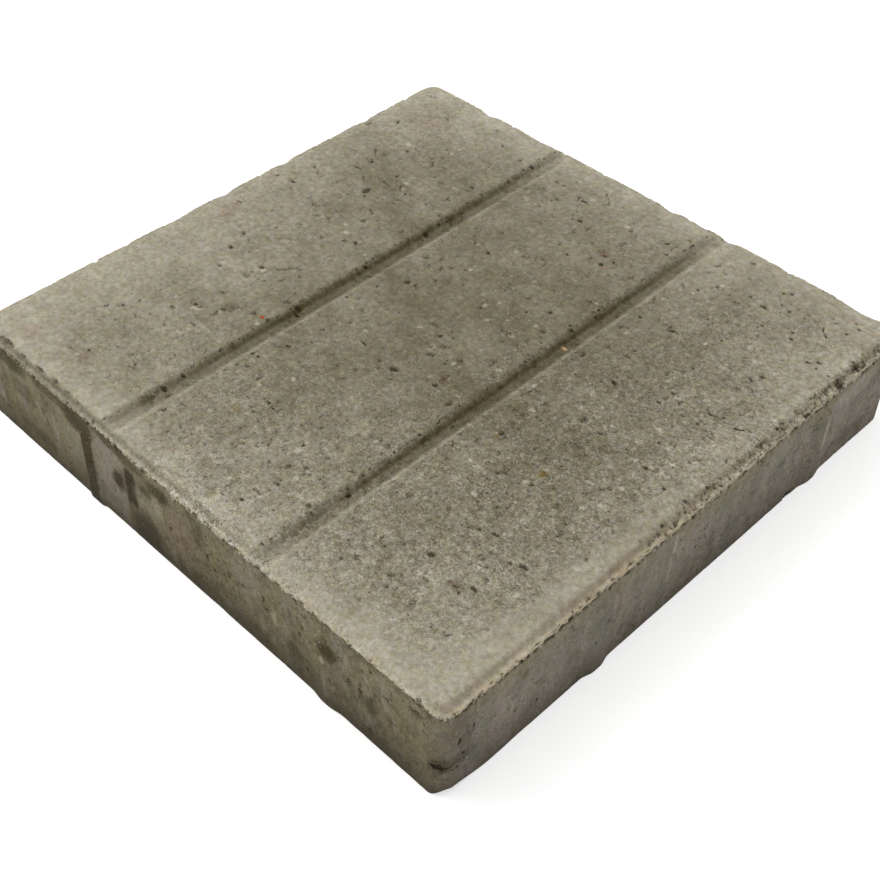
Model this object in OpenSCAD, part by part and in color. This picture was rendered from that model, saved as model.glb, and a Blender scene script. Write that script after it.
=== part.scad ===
// Grooved concrete paving slab, cast in one piece.
// Millimetres, +Z up. The origin is the centre of the bed face, on the ground.
// The grooves run along Y and part the top into equal strips across X.

/* [Slab] */
// Side of the square slab, without its spacer nibs
slab_side = 400; // [300:10:600]
// Thickness from the bed to the top of the strips
slab_thickness = 70; // [50:5:100]
// Radius of the four upright corners, in plan
corner_radius = 10; // [8:1:20]

/* [Top edge] */
// Width of the flat rim that the press plate leaves round the top
rim_width = 2.8; // [1.5:0.1:4]
// Horizontal run of the sloping flank between the rim and the top
flank_run = 2.5; // [1.5:0.1:3.5]
// Depth of the rim and of the groove floors below the top
relief_depth = 3; // [1.5:0.1:5]

/* [Grooves] */
// Number of strips that the grooves part the top into
strip_count = 3; // [2:1:6]
// Width of a groove at the top
groove_top_width = 14.5; // [12:0.5:20]
// Width of a groove's flat floor
groove_floor_width = 5; // [3:0.5:8]

/* [Spacer nibs] */
// Width of a nib along the side face, where it meets the face
nib_width = 22; // [14:1:26]
// How far a nib stands proud of the side face
nib_proud = 2; // [1:0.1:3]
// Distance from the top of a nib up to the top of the slab
nib_gap = 12; // [8:1:20]
// Height over which the top of a nib slopes back into the face
nib_taper = 7; // [3:1:12]
// Shift of both nibs along the side, which lets the nibs of two slabs pass
nib_shift = 17.5; // [14:0.5:25]

/* [Hidden] */
// Facets of a full circle
$fn = 96;
// Overlap that carries a cutter clear of the faces it passes
clear = 5;
// How deep a nib's sloping top ends behind the side face
nib_sink = 0.8;

half_side = slab_side / 2;
// Height of the rim and of the groove floors
rim_height = slab_thickness - relief_depth;
// Length of the straight stretch of each side, between the rounded corners
straight_side = slab_side - 2 * corner_radius;
// Distance from one groove's centre line to the next
strip_pitch = slab_side / strip_count;
// Radius of the arc that rises nib_proud over nib_width
nib_radius = (pow(nib_width / 2, 2) + pow(nib_proud, 2)) / (2 * nib_proud);
nib_height = slab_thickness - nib_gap;
nib_shaft_height = nib_height - nib_taper;
// Distance between the two nibs of one side
nib_spacing = half_side;

// Outline of one edge as [distance from the middle, height]:
// the side face, the rim and the flank, for a side face at the given reach.
function edge_outline(reach) = [
    [reach, 0],
    [reach, rim_height],
    [reach - rim_width, rim_height],
    [reach - rim_width - flank_run, slab_thickness]
];

// The slab's section, the same in both directions.
module slab_section() {
    right_edge = edge_outline(half_side);
    left_edge = [for (i = [len(right_edge) - 1 : -1 : 0]) [-right_edge[i][0], right_edge[i][1]]];
    polygon(concat(right_edge, left_edge));
}

// The section extruded between two opposite pairs of corners, along Y.
module straight_run() {
    rotate([90, 0, 0])
        linear_extrude(height = straight_side, center = true)
            slab_section();
}

// One upright corner: the edge outline turned about the corner's own axis.
module corner_post() {
    rotate_extrude()
        polygon(concat([[0, 0]], edge_outline(corner_radius), [[0, slab_thickness]]));
}

// The pressed block, before the grooves.
module pressed_block() {
    straight_run();
    rotate([0, 0, 90]) straight_run();
    for (x = [-1, 1], y = [-1, 1])
        translate([x * straight_side / 2, y * straight_side / 2, 0])
            corner_post();
}

// One groove cutter: sloping walls down to a flat floor, level with the rim.
module groove_cutter() {
    translate([0, 0, rim_height])
        rotate([90, 0, 0])
            linear_extrude(height = slab_side + 2 * clear, center = true)
                polygon([
                    [-groove_floor_width / 2, 0],
                    [groove_floor_width / 2, 0],
                    [groove_top_width / 2, relief_depth],
                    [groove_top_width / 2, relief_depth + clear],
                    [-groove_top_width / 2, relief_depth + clear],
                    [-groove_top_width / 2, relief_depth]
                ]);
}

module grooves() {
    for (i = [1 : strip_count - 1])
        translate([i * strip_pitch - half_side, 0, 0])
            groove_cutter();
}

// One spacer nib, standing proud of the side face at -Y.
module nib() {
    translate([0, nib_radius - half_side - nib_proud, 0]) {
        cylinder(r = nib_radius, h = nib_shaft_height);
        translate([0, 0, nib_shaft_height])
            cylinder(r1 = nib_radius, r2 = nib_radius - nib_proud - nib_sink, h = nib_taper);
    }
}

// The pair of nibs of each side, turned round the slab's middle.
module nibs() {
    for (turn = [0 : 90 : 270], side = [-1, 1])
        rotate([0, 0, turn])
            translate([nib_shift + side * nib_spacing / 2, 0, 0])
                nib();
}

module slab() {
    color([0.57, 0.54, 0.46]) {
        difference() {
            pressed_block();
            grooves();
        }
        nibs();
    }
}

slab();
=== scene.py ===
"""Looks of the grooved concrete paving slab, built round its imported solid.

The slab is one casting, so it is one closed mesh, slab_cast, which stands for
the solid slab. Shapes are worked out in millimetres, and the mesh is in metres.
"""

import logging
import math
from collections.abc import Sequence
from dataclasses import dataclass, field
from enum import Enum
from itertools import product
from typing import Any

import bpy
import numpy as np
from mathutils import Matrix, Vector
from mathutils.kdtree import KDTree


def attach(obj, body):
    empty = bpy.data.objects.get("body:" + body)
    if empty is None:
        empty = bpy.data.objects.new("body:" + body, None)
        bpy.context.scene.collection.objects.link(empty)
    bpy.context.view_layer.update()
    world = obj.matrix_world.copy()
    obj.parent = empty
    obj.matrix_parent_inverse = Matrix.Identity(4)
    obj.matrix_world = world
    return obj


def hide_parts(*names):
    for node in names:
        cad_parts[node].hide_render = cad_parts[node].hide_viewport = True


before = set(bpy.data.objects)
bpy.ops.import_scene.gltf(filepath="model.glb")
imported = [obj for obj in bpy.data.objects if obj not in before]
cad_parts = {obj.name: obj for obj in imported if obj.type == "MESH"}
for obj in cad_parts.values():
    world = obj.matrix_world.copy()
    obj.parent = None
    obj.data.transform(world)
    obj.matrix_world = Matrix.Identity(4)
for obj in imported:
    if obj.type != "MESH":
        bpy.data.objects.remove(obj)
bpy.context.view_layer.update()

MM = 0.001
UP = np.array([0.0, 0.0, 1.0])
TOP, WALL, BED = range(3)
WHITE = (1.0, 1.0, 1.0, 1.0)

log = logging.getLogger("slab")

Array = np.ndarray
Colour = tuple[float, float, float, float]
Rows = tuple[tuple[Any, ...], ...]


# ---------------------------------------------------------------- small tools


def shade(code: str) -> Colour:
    """Turns a display colour into the linear one that shaders take.

    Args:
        code: the colour as six hexadecimal digits.

    Returns:
        Linear red, green and blue, and an alpha of 1.
    """
    parts = [int(code[i : i + 2], 16) / 255 for i in (0, 2, 4)]
    slope, foot, lift, power = 12.92, 0.04045, 0.055, 2.4
    linear = [p / slope if p <= foot else ((p + lift) / (1 + lift)) ** power for p in parts]
    return (linear[0], linear[1], linear[2], 1.0)


def put(name: str, data: Any) -> bpy.types.Object:
    """Puts an object into the scene.

    Args:
        name: its name.
        data: its mesh, lamp or camera.

    Returns:
        The object.
    """
    made = bpy.data.objects.new(name, data)
    bpy.context.scene.collection.objects.link(made)
    return made


def ease(value: Array) -> Array:
    """Smooth rise from 0 to 1 as value goes from 0 to 1."""
    held = np.clip(value, 0.0, 1.0)
    return held * held * (3.0 - 2.0 * held)


def near(distance: Array, reach: float) -> Array:
    """Bell that is 1 at no distance and fades over reach."""
    return np.exp(-((distance / reach) ** 2))


def random_axis(rng: np.random.Generator) -> Array:
    """A level unit vector drawn at random."""
    turn = rng.uniform(0, math.pi)
    return np.array([math.cos(turn), math.sin(turn), 0.0])


def paced(fine: Array, step: Array, count: int | None = None) -> Array:
    """Walks a line at a varying pace.

    Args:
        fine: places close together, rising.
        step: the pace wanted at each of them.
        count: the number of paces, or None for as many as fit.

    Returns:
        The places between the paces, rising, with both ends.
    """
    run = np.concatenate([[0.0], np.cumsum(np.diff(fine) * 2 / (step[1:] + step[:-1]))])
    count = count or int(round(run[-1]))
    return np.interp(np.linspace(0, run[-1], count + 1), run, fine)


class LatticeNoise:
    """Smooth seeded noise over space, from about -1 to 1."""

    SIZE = 256
    STRENGTH = 1.5
    LAYER_SHIFT = 17.3

    def __init__(self, seed: int) -> None:
        """Draws the lattice.

        Args:
            seed: picks the pattern.
        """
        rng = np.random.default_rng(seed)
        self.order = np.tile(rng.permutation(self.SIZE), 2).astype(np.int32)
        arrows = rng.normal(size=(self.SIZE, 3))
        arrows /= np.linalg.norm(arrows, axis=1, keepdims=True)
        self.arrows = arrows.astype(np.float32)

    def at(self, points: Array, wave: float) -> Array:
        """Noise at each point.

        Args:
            points: places in millimetres, one to a row.
            wave: wavelength in millimetres.

        Returns:
            One value for each point.
        """
        scaled = points / wave
        floor = np.floor(scaled)
        part = (scaled - floor).astype(np.float32)
        cell = floor.astype(np.int32) % self.SIZE
        fade = part**3 * (part * (part * 6 - 15) + 10)
        total = np.zeros(len(points), dtype=np.float32)
        for corner in product((0, 1), repeat=3):
            step = np.array(corner, dtype=np.int32)
            spot = (cell + step) % self.SIZE
            index = self.order[self.order[self.order[spot[:, 0]] + spot[:, 1]] + spot[:, 2]]
            slope = np.einsum("ij,ij->i", part - step, self.arrows[index])
            total += np.where(step, fade, 1 - fade).prod(axis=1) * slope
        return self.STRENGTH * total

    def layered(self, points: Array, wave: float, layers: int, gain: float = 0.5) -> Array:
        """Sum of finer and finer layers of noise.

        Args:
            points: places in millimetres, one to a row.
            wave: wavelength of the coarsest layer.
            layers: number of layers, each of half the wavelength before.
            gain: strength of a layer beside the one before.

        Returns:
            One value for each point, from about -1 to 1.
        """
        total = np.zeros(len(points), dtype=np.float32)
        reach = 0.0
        for layer in range(layers):
            strength = gain**layer
            total += strength * self.at(points + self.LAYER_SHIFT * layer, wave / 2**layer)
            reach += strength
        return total / reach


class RoundedProfile:
    """A polyline whose corners are rounded over a given distance."""

    STEP = 0.05

    def __init__(self, points: Sequence[tuple[float, float]], rounding: float) -> None:
        """Samples and rounds the line.

        Args:
            points: corners as (distance, height), with distance rising.
            rounding: spread of the rounding, in millimetres.
        """
        places, heights = np.array(points, dtype=float).T
        margin = 4 * rounding
        self.places = np.arange(places[0] - margin, places[-1] + margin, self.STEP)
        sharp = np.interp(self.places, places, heights)
        reach = int(margin / self.STEP)
        kernel = near(np.arange(-reach, reach + 1) * self.STEP, rounding * math.sqrt(2))
        kernel /= kernel.sum()
        self.heights = np.convolve(np.pad(sharp, reach, mode="edge"), kernel, mode="valid")

    def at(self, distance: Array) -> Array:
        """Height of the rounded line at each distance."""
        return np.interp(distance, self.places, self.heights)


# ------------------------------------------------------------- slab's geometry


class Side(Enum):
    """The four side faces, by the direction that each faces."""

    SOUTH = (0, -1)
    EAST = (1, 0)
    NORTH = (0, 1)
    WEST = (-1, 0)

    @property
    def outward(self) -> Array:
        """Unit vector out of the face."""
        return np.array([self.value[0], self.value[1], 0.0])

    @property
    def along(self) -> Array:
        """Unit vector along the face, towards +X or +Y."""
        return np.array([abs(self.value[1]), abs(self.value[0]), 0.0])

    def place(self, along: float, height: float, out: float) -> Array:
        """A place on the face, or out of it."""
        return self.outward * out + self.along * along + UP * height


class Mask(str, Enum):
    """Values that the mesh carries to its material, one for each point."""

    SIDE = "side"
    BED = "bed"
    FILM = "film"
    SOIL = "soil"
    PIT = "pit"
    RIM = "rim"
    COARSE = "coarse"
    BITTEN = "bitten"
    FLECK = "fleck"


@dataclass(frozen=True)
class Nib:
    """One spacer nib as it came out of the mould."""

    side: Side
    centre: float
    width: float
    proud: float
    flat: float

    def swell(self, along: Array, fall: Array) -> Array:
        """How far the nib stands out, by place along the face and share of full height."""
        rise = (self.width / 2 - np.abs(along - self.centre)) / ((self.width - self.flat) / 2)
        return self.proud * ease(rise) * np.clip(fall, 0.0, 1.0)


@dataclass(frozen=True)
class Mark:
    """One known pit, chip, crack or pale grain in the top, as it shows.

    Attributes:
        x: its place across the grooves.
        y: its place along the grooves.
        length: its length.
        width: its width.
        turn: how its length lies, in degrees from +X.
        dark: how strongly it shows, from 0 to 1.
    """

    x: float
    y: float
    length: float
    width: float
    turn: float = 0.0
    dark: float = 1.0


@dataclass
class HollowSet:
    """Many pores, chips and cracks as arrays, pressed into a surface together."""

    centres: list[Array] = field(default_factory=list)
    axes: list[Array] = field(default_factory=list)
    sizes: list[tuple[float, float, float, float]] = field(default_factory=list)

    def add(
        self, centre: Array, axis: Array | float, length: float, width: float, depth: float, dark: float = 1
    ) -> None:
        """Takes in one hollow.

        Args:
            centre: its place on the face.
            axis: unit vector along its length, or its turn from +X in degrees.
            length: its length over all.
            width: its width over all.
            depth: its depth in the middle.
            dark: how dark it is in the middle.
        """
        if not isinstance(axis, Array):
            angle = math.radians(axis)
            axis = np.array([math.cos(angle), math.sin(angle), 0.0])
        self.centres.append(np.array(centre))
        self.axes.append(axis)
        self.sizes.append((length / 2, width / 2, depth, dark))

    def mark(self, mark: Mark, height: float) -> None:
        """Takes in a known mark, as the hollow that shows at its size.

        Args:
            mark: the mark.
            height: height of the face that it lies in.
        """
        depth = min(0.3 + 0.3 * mark.width, 1.4) * mark.dark
        length, width = 1.35 * mark.length + 0.3, 1.3 * mark.width + 0.4
        self.add((mark.x, mark.y, height), mark.turn, length, width, depth, mark.dark)

    def press(self, points: Array, tree: KDTree, ragged: Array) -> tuple[Array, Array]:
        """Depth and darkness that the hollows give each point.

        Args:
            points: the surface's points.
            tree: the same points, for finding neighbours.
            ragged: noise at the points, which makes the outlines uneven.

        Returns:
            Depth in millimetres, and how far inside a hollow each point is, 0 to 1.
        """
        depth = np.zeros(len(points))
        inside = np.zeros(len(points))
        owners: list[int] = []
        found: list[int] = []
        for number, (centre, size) in enumerate(zip(self.centres, self.sizes, strict=True)):
            hits = [hit[1] for hit in tree.find_range(centre, 1.5 * size[0])]
            owners.extend([number] * len(hits))
            found.extend(hits)
        owner = np.array(owners)
        spot = np.array(found)
        gap = points[spot] - np.array(self.centres)[owner]
        size = np.array(self.sizes)[owner]
        lengthwise = np.einsum("ij,ij->i", gap, np.array(self.axes)[owner])
        across = np.maximum((gap**2).sum(axis=1) - lengthwise**2, 0.0)
        reach = np.sqrt((lengthwise / size[:, 0]) ** 2 + across / size[:, 1] ** 2)
        share = ease(1.7 * (1.0 - reach * (1.0 + 0.45 * ragged[spot])))
        np.maximum.at(depth, spot, share * size[:, 2])
        np.maximum.at(inside, spot, share * size[:, 3])
        return depth, inside


@dataclass(frozen=True)
class RimWear:
    """How the rim of one side has worn.

    Attributes:
        crumble: how much its arris has crumbled.
        fringe: how far sandy crumbs reach down the side, in millimetres.
        bites: number of small bites out of it.
    """

    crumble: float
    fringe: float
    bites: int


@dataclass
class SlabCasting:
    """The slab as cast: its sizes, its grid and the known marks in it.

    Attributes:
        marks: rows of a Mark's values, the dark marks in the top.
        flecks: the same, the pale grains in the top.
        corner_slits: rows of place, turn, length, width, depth and darkness.
        voids: rows of place along a side, height, length, width, depth, darkness and,
            where it isn't half the slab's side, distance from the middle.
        clouds: rows of X, Y, reach and strength, where the pale film is thick or thin.
        dips: rows of place along, width and depth, the worn dips in the rims at the back.
    """

    side: float = 400.0
    thickness: float = 70.0
    corner_radius: float = 10.0
    relief: float = 3.0
    arris_radius: float = 0.8
    bed_radius: float = 0.4
    groove_pitch: float = 400.0 / 3
    groove_top: float = 14.5
    groove_floor: float = 5.0
    groove_drift: float = 0.6
    nib_top: float = 58.0
    nib_shaft: float = 51.0
    grid_count: int = 468
    open_step: float = 0.95
    edge_step: float = 0.4
    edge_reach: float = 7.0
    groove_step: float = 0.55
    groove_reach: float = 9.0
    side_step: float = 1.1
    bed_inset: float = 1.2
    bed_coarseness: int = 3
    most_triangles: int = 190_000
    kept_from: float = 0.12
    pore_tries: int = 700
    south_voids: int = 85
    other_voids: int = 60
    torn_places: int = 130
    groove_chips: int = 150
    seed: int = 4711
    nibs: tuple[Nib, ...] = (
        Nib(Side.SOUTH, -84.5, 19.0, 1.3, 9.0),
        Nib(Side.SOUTH, 117.0, 24.0, 1.3, 4.0),
        Nib(Side.EAST, -82.0, 24.0, 1.95, 5.0),
        Nib(Side.EAST, 118.5, 25.0, 1.8, 4.0),
        Nib(Side.NORTH, -117.5, 23.0, 1.5, 5.0),
        Nib(Side.NORTH, 82.5, 22.0, 1.7, 4.0),
        Nib(Side.WEST, -117.5, 23.0, 1.9, 5.0),
        Nib(Side.WEST, 82.5, 24.0, 1.4, 6.0),
    )
    marks: Rows = (
        # right strip, back
        (132, 179.5, 3, 2.6), (128.5, 176, 3, 2, 0, 0.8), (97.5, 188, 4, 3.4, 30, 0.8),
        (180, 180, 2.4, 2.2), (176, 183, 1.8, 1.8), (177, 171, 3, 2, 90), (165, 164, 4, 1.6, -60),
        (169.5, 160, 4, 1.4, -50), (127.5, 156.5, 5, 2.4), (116, 159, 1.8, 1.8), (112, 148, 3, 3, 0, 0.6),
        (96, 151.5, 3, 2, -40, 0.8), (80.5, 137, 9, 1.2, -47, 0.7), (89, 140.5, 3, 1.6),
        (153.5, 149, 2.6, 1.8), (156, 143.5, 3.4, 2.4), (137, 141.5, 2.4, 2.2), (180, 137, 4, 2.4, 15),
        (175.5, 132.5, 5.5, 1.6, 30), (182, 131, 2.5, 1.2), (128, 112, 2.4, 1.6, 0, 0.8),
        (75.5, 114.5, 2.4, 3, 0, 0.7), (80, 105, 4, 3, 0, 0.65), (164, 103, 3.6, 3.2),
        (160.5, 96, 5, 1.4, -25), (102, 98.3, 5.5, 3, 30), (99, 100, 2.2, 2), (80.4, 94.5, 2.6, 2.6),
        (81.5, 81.5, 3, 3, 0, 0.75), (97.8, 67.5, 3, 2, 0, 0.8), (85, 59, 4, 3, 0, 0.65),
        (98, 60.5, 5, 2.6, 0, 0.65), (137, 54.5, 2.2, 2), (107, 37, 5, 2.8, -15),
        (78.7, 42.5, 2, 5, 0, 0.75), (135.5, 42.5, 2.4, 2), (159, 57.5, 3, 1.1, -45), (162, 55.5, 5, 1.4),
        (165.5, 57, 2.5, 1.1, 50), (169, 58.5, 3, 1.2, 45), (179, 56.5, 3.5, 2.2, 20),
        (182, 58, 4, 1.6, 35), (186, 60, 4, 1.1, 5), (192, 58.5, 7, 1, -5), (161.5, 44, 2.6, 2),
        (167, 42.5, 6, 1.1, 5, 0.8), (194, 113, 1.6, 2), (194, 108.5, 2.2, 2.2),
        # right strip, front
        (128.5, -1, 3, 2.6), (162.5, -4, 3, 2.4), (179.5, -9, 2.6, 2.6), (193, -8, 4, 2.6),
        (90, -40.5, 2.4, 4), (138.5, -98, 4, 2.6), (164, -104, 6, 2.4, 10), (157, -107, 3, 2),
        (130, -101, 2.2, 2), (124.5, -131.7, 5, 3.2, 15), (155.8, -132.8, 4, 2.8),
        (148, -138, 4, 2.4, 20, 0.85), (152, -140, 3, 2, 0, 0.8), (182, -77, 2.4, 2.4, 0, 0.8),
        # middle strip, back
        (25.5, 182.5, 3, 2.6, 0, 0.7), (55, 178, 4, 3, 0, 0.65), (46.5, 165, 3.6, 2.8, 20),
        (-48.3, 166.7, 3, 2.8, 0, 0.75), (-42.8, 166.7, 2.4, 2.8, 0, 0.75), (-21.7, 162.5, 5, 2.8),
        (-50, 153.3, 7, 5, 30, 0.6), (-35.8, 151.7, 4, 3.4, 0, 0.65), (-9.5, 143.8, 4.4, 3.2),
        (-39.2, 137.5, 4.6, 3.6, 0, 0.6), (12, 131.5, 4, 2.4, 0, 0.75), (26.5, 126.5, 3, 3, 0, 0.85),
        (30, 118.3, 4.4, 3.8, -20), (8.5, 110, 3.4, 2, 0, 0.9), (58.5, 82, 2, 2), (60.8, 76.5, 3, 2),
        (30.2, 77, 2, 2, 0, 0.8), (59.4, 55.8, 5, 2.8, 20), (55.6, 58.2, 2.4, 2.4), (39.4, 58.5, 3.4, 2.4),
        (28.8, 48.5, 2, 2), (48, 42, 4, 4.6, 0, 0.65), (54, 33.5, 3, 2.6, 0, 0.7), (-28, 75.3, 3.4, 2.8),
        (-44, 48, 4, 2, -40, 0.8), (-37.5, 42, 7, 1.4, -60, 0.8), (-42.5, 17.2, 3.6, 4.6, 0, 0.9),
        # middle strip, front
        (15.5, -21.3, 6, 4.4, 30, 0.75), (52.8, -44.2, 2.6, 5, 0, 0.85), (-59, -20.3, 3.4, 2.8, 0, 0.85),
        (-19.2, -43, 8, 1.3, -10), (-48.7, -77, 4, 2.6, 30, 0.85), (-58.7, -96.7, 3, 2.2),
        (-54.2, -95.8, 2, 2.4), (-52, -106, 2.4, 2.4, 0, 0.8), (-39.2, -108.3, 2.2, 7, 0, 0.75),
        (-24.2, -116.7, 2.2, 2), (-19.5, -117.2, 2.8, 2.8), (-14.2, -118.8, 2.2, 2),
        (-38, -123, 6, 6, 0, 0.55), (19.6, -126.2, 2.6, 2.4), (33.5, -136.5, 3.4, 3, 40, 0.8),
        (55.8, -154, 5, 3.2, 20, 0.85), (16, -148.5, 2.2, 2.2, 0, 0.8), (27.5, -176.7, 2.6, 2.4),
        # left strip, back
        (-184, 184, 7, 4, 20, 0.55), (-156, 170.5, 10, 2.4, -45, 0.6), (-121, 184, 2.6, 3.6, 0, 0.7),
        (-105, 173, 6, 2, -52, 0.65), (-84.2, 168, 3.6, 3.6, 0, 0.65), (-73.3, 168.7, 4, 3),
        (-178.3, 141.7, 5.4, 3, -60, 0.85), (-191.7, 125, 2.6, 7, 0, 0.7), (-147, 119.8, 5, 2.6, -20, 0.7),
        (-123.5, 121.5, 8, 1.4, -55, 0.7), (-85, 120.5, 7, 2.4, -20, 0.8),
        (-162, 103.5, 11, 1.6, -47, 0.75), (-155.2, 93, 4, 4.4, 0, 0.85), (-157, 81, 8, 2, 10, 0.75),
        (-144, 75, 11, 1.3, -42, 0.75), (-130, 82.3, 9, 2.4, -15, 0.7), (-132.6, 67, 4.6, 8.4, 0, 0.95),
        (-128.4, 61.5, 4, 2, -40, 0.8), (-153.5, 59, 3, 2.6, 0, 0.75), (-177.5, 60, 5, 2.4, -45, 0.75),
        (-171, 57, 5, 2, -45, 0.7), (-174.7, 38, 4, 2.8, 20, 0.9), (-188.3, 35.5, 2.8, 2.8, 0, 0.85),
        (-182, 45.5, 3.6, 2, 0, 0.7), (-153, 34, 2, 9, 15, 0.7), (-146, 30, 7, 2, -50, 0.65),
        (-95, 21.3, 4.4, 2.8, -40, 0.95), (-101.5, 18, 4, 4, 0, 0.75), (-83, 51, 3, 7, 0, 0.65),
        # left strip, front
        (-182.5, -3, 5, 2.6, 0, 0.75), (-153.3, -24, 5, 3, -40, 0.75), (-148, -39.2, 4.6, 3.4, -20, 0.9),
        (-138, -37.5, 4, 2.4, 0, 0.6), (-104, -27, 17, 4, 55, 0.6), (-117.8, -38.8, 3.8, 3.4, 0, 0.95),
        (-138, -56.8, 4, 2.6, 0, 0.75), (-118.7, -50.8, 7, 4.6, 0, 0.6), (-80, -50, 7, 4, 30, 0.7),
        (-71.7, -48.3, 6, 3.4), (-68.5, -52.5, 3.4, 3), (-76, -69.5, 4, 2.6, 10),
        (-86.5, -72, 3.4, 4.4, 0, 0.75), (-115.3, -72.8, 3.4, 2.6, 0, 0.85), (-102.5, -83, 5, 3, 0, 0.75),
        (-99, -78, 3, 4, 0, 0.6), (-118, -91.8, 3.4, 2.8), (-126.7, -103.8, 3.4, 2.2, 0, 0.9),
        (-105, -105, 10, 1.4, 0, 0.65), (-148.8, -124.5, 2.4, 2.8, 0, 0.85), (-72.5, -137.5, 4, 2.4, 20),
        (-100, -152, 2.4, 2.4, 0, 0.8), (-71.7, -151.8, 7, 3.4, 10), (-128.7, -164.5, 3, 2, -20, 0.9),
        # in the grooves
        (68.8, 87, 2.6, 1.6), (63.3, -132.2, 2, 4), (-70.8, 62.5, 3, 5, 0, 0.9), (-72.5, 9.2, 3, 2.8),
        (-72, 75, 1.8, 1.8),
        # on the rim
        (197.6, 151.8, 8, 3.2, 5), (198.4, 132.3, 6, 8), (200, 97.4, 4.6, 7), (-170, -194.5, 17, 4, 0, 0.8),
        (-135.4, -194.7, 9, 3, 0, 0.85), (-120.5, -194.2, 7, 3.2, 0, 0.85), (-107, -194.8, 6, 2, 0, 0.7),
        (-152, -195, 5, 2, 0, 0.7), (-96, -195.5, 4, 2, 0, 0.7), (194.6, 74.3, 2.5, 3),
        (196.6, 77.3, 3, 1.6, 40), (199.6, 52.3, 2, 3), (197.6, 119.3, 3, 1.4), (190, 32, 6, 1.6, -60, 0.8),
        (195.1, -29.7, 2.4, 2.8),
    )
    flecks: Rows = (
        (17, 160.3, 4, 3.4), (97.5, 154.5, 3, 2.4, -30), (105.5, 131, 3.6, 3.6, 0, 0.6),
        (12.5, 136.5, 2.4, 2, 0, 0.6), (7.1, 34.4, 2.8, 3.6, 0, 0.85), (12.5, 74, 3.4, 3, 0, 0.55),
        (171, 51.5, 2.6, 1.6), (-18, 167.5, 4.6, 3.4, 0, 0.9), (-7.5, 137, 2.2, 4, 0, 0.8),
        (-51.5, 137, 3, 2, 0, 0.6), (-151.8, 125.6, 4, 4.8, 0, 0.9), (-122.8, 147, 3.4, 3, -40, 0.65),
        (-123, 139.6, 4, 3, -40, 0.65), (-119.2, 91.3, 4.6, 3, 0, 0.95), (-107.2, 24.2, 3.6, 2.8, 20, 0.95),
        (-114, 30, 4, 2.6, -30, 0.75), (-81, 16.5, 3, 2.2, 0, 0.85), (-132, 25, 8, 4, 20, 0.5),
        (-23.3, 53.7, 2.4, 2.8, 0, 0.9), (-16, 88, 3.6, 3.6, 0, 0.7), (-9, 29, 5, 4, 0, 0.55),
        (-114.7, -40.5, 4.2, 3.6, 0, 0.95), (-132.5, -30, 2.6, 2.4, 0, 0.75),
        (-138.4, -53.7, 4, 2.6, 0, 0.8), (-115.5, -59, 4, 2.4, -30, 0.65), (-115, -95, 6, 3, 20),
        (-132.5, -96, 3, 2, -20, 0.8), (-102.5, -110.2, 4, 3, 0, 0.75), (-104.4, -115.6, 5, 2.6, 10, 0.8),
        (-48.5, -25.5, 3, 2.6, 0, 0.7), (53, -3.3, 2.6, 2.8), (30.8, -18, 2.2, 4, 0, 0.9),
        (89.5, -14.5, 4, 2.4, 0, 0.9), (76.5, 2, 1.8, 5, 0, 0.85), (107, 6, 2.4, 3.6, 0, 0.8),
        (124.2, -59, 4.4, 3.6), (110.8, -85, 4.4, 4, 30, 0.85), (150, -34.2, 10, 1.3, 6, 0.9),
        (142, -95, 2.4, 2.6, 0, 0.85), (20, -123.5, 2.6, 2.6), (21, -131.5, 4.6, 5.4, 0, 0.8),
        (117.5, -170, 2, 2), (83, -169, 3.6, 3.4, 0, 0.7), (97, -179.5, 3, 2, 0, 0.7),
        (22.5, -187, 3.4, 2.6, 0, 0.7),
    )
    corner_slits: Rows = (
        ((197.4, -196.9, 22.6), 45, 13, 4.2, 1.5, 1), ((193.6, -199.3, 24.6), 10, 6, 6, 1.4, 1),
        ((196, -198, 26), 45, 5, 3.6, 0.8, 0.7), ((197.1, -197.1, 13.4), 45, 9, 3, 0.8, 0.75),
        ((193, -199.5, 14.6), 10, 5, 3, 0.6, 0.6),
    )
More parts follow.
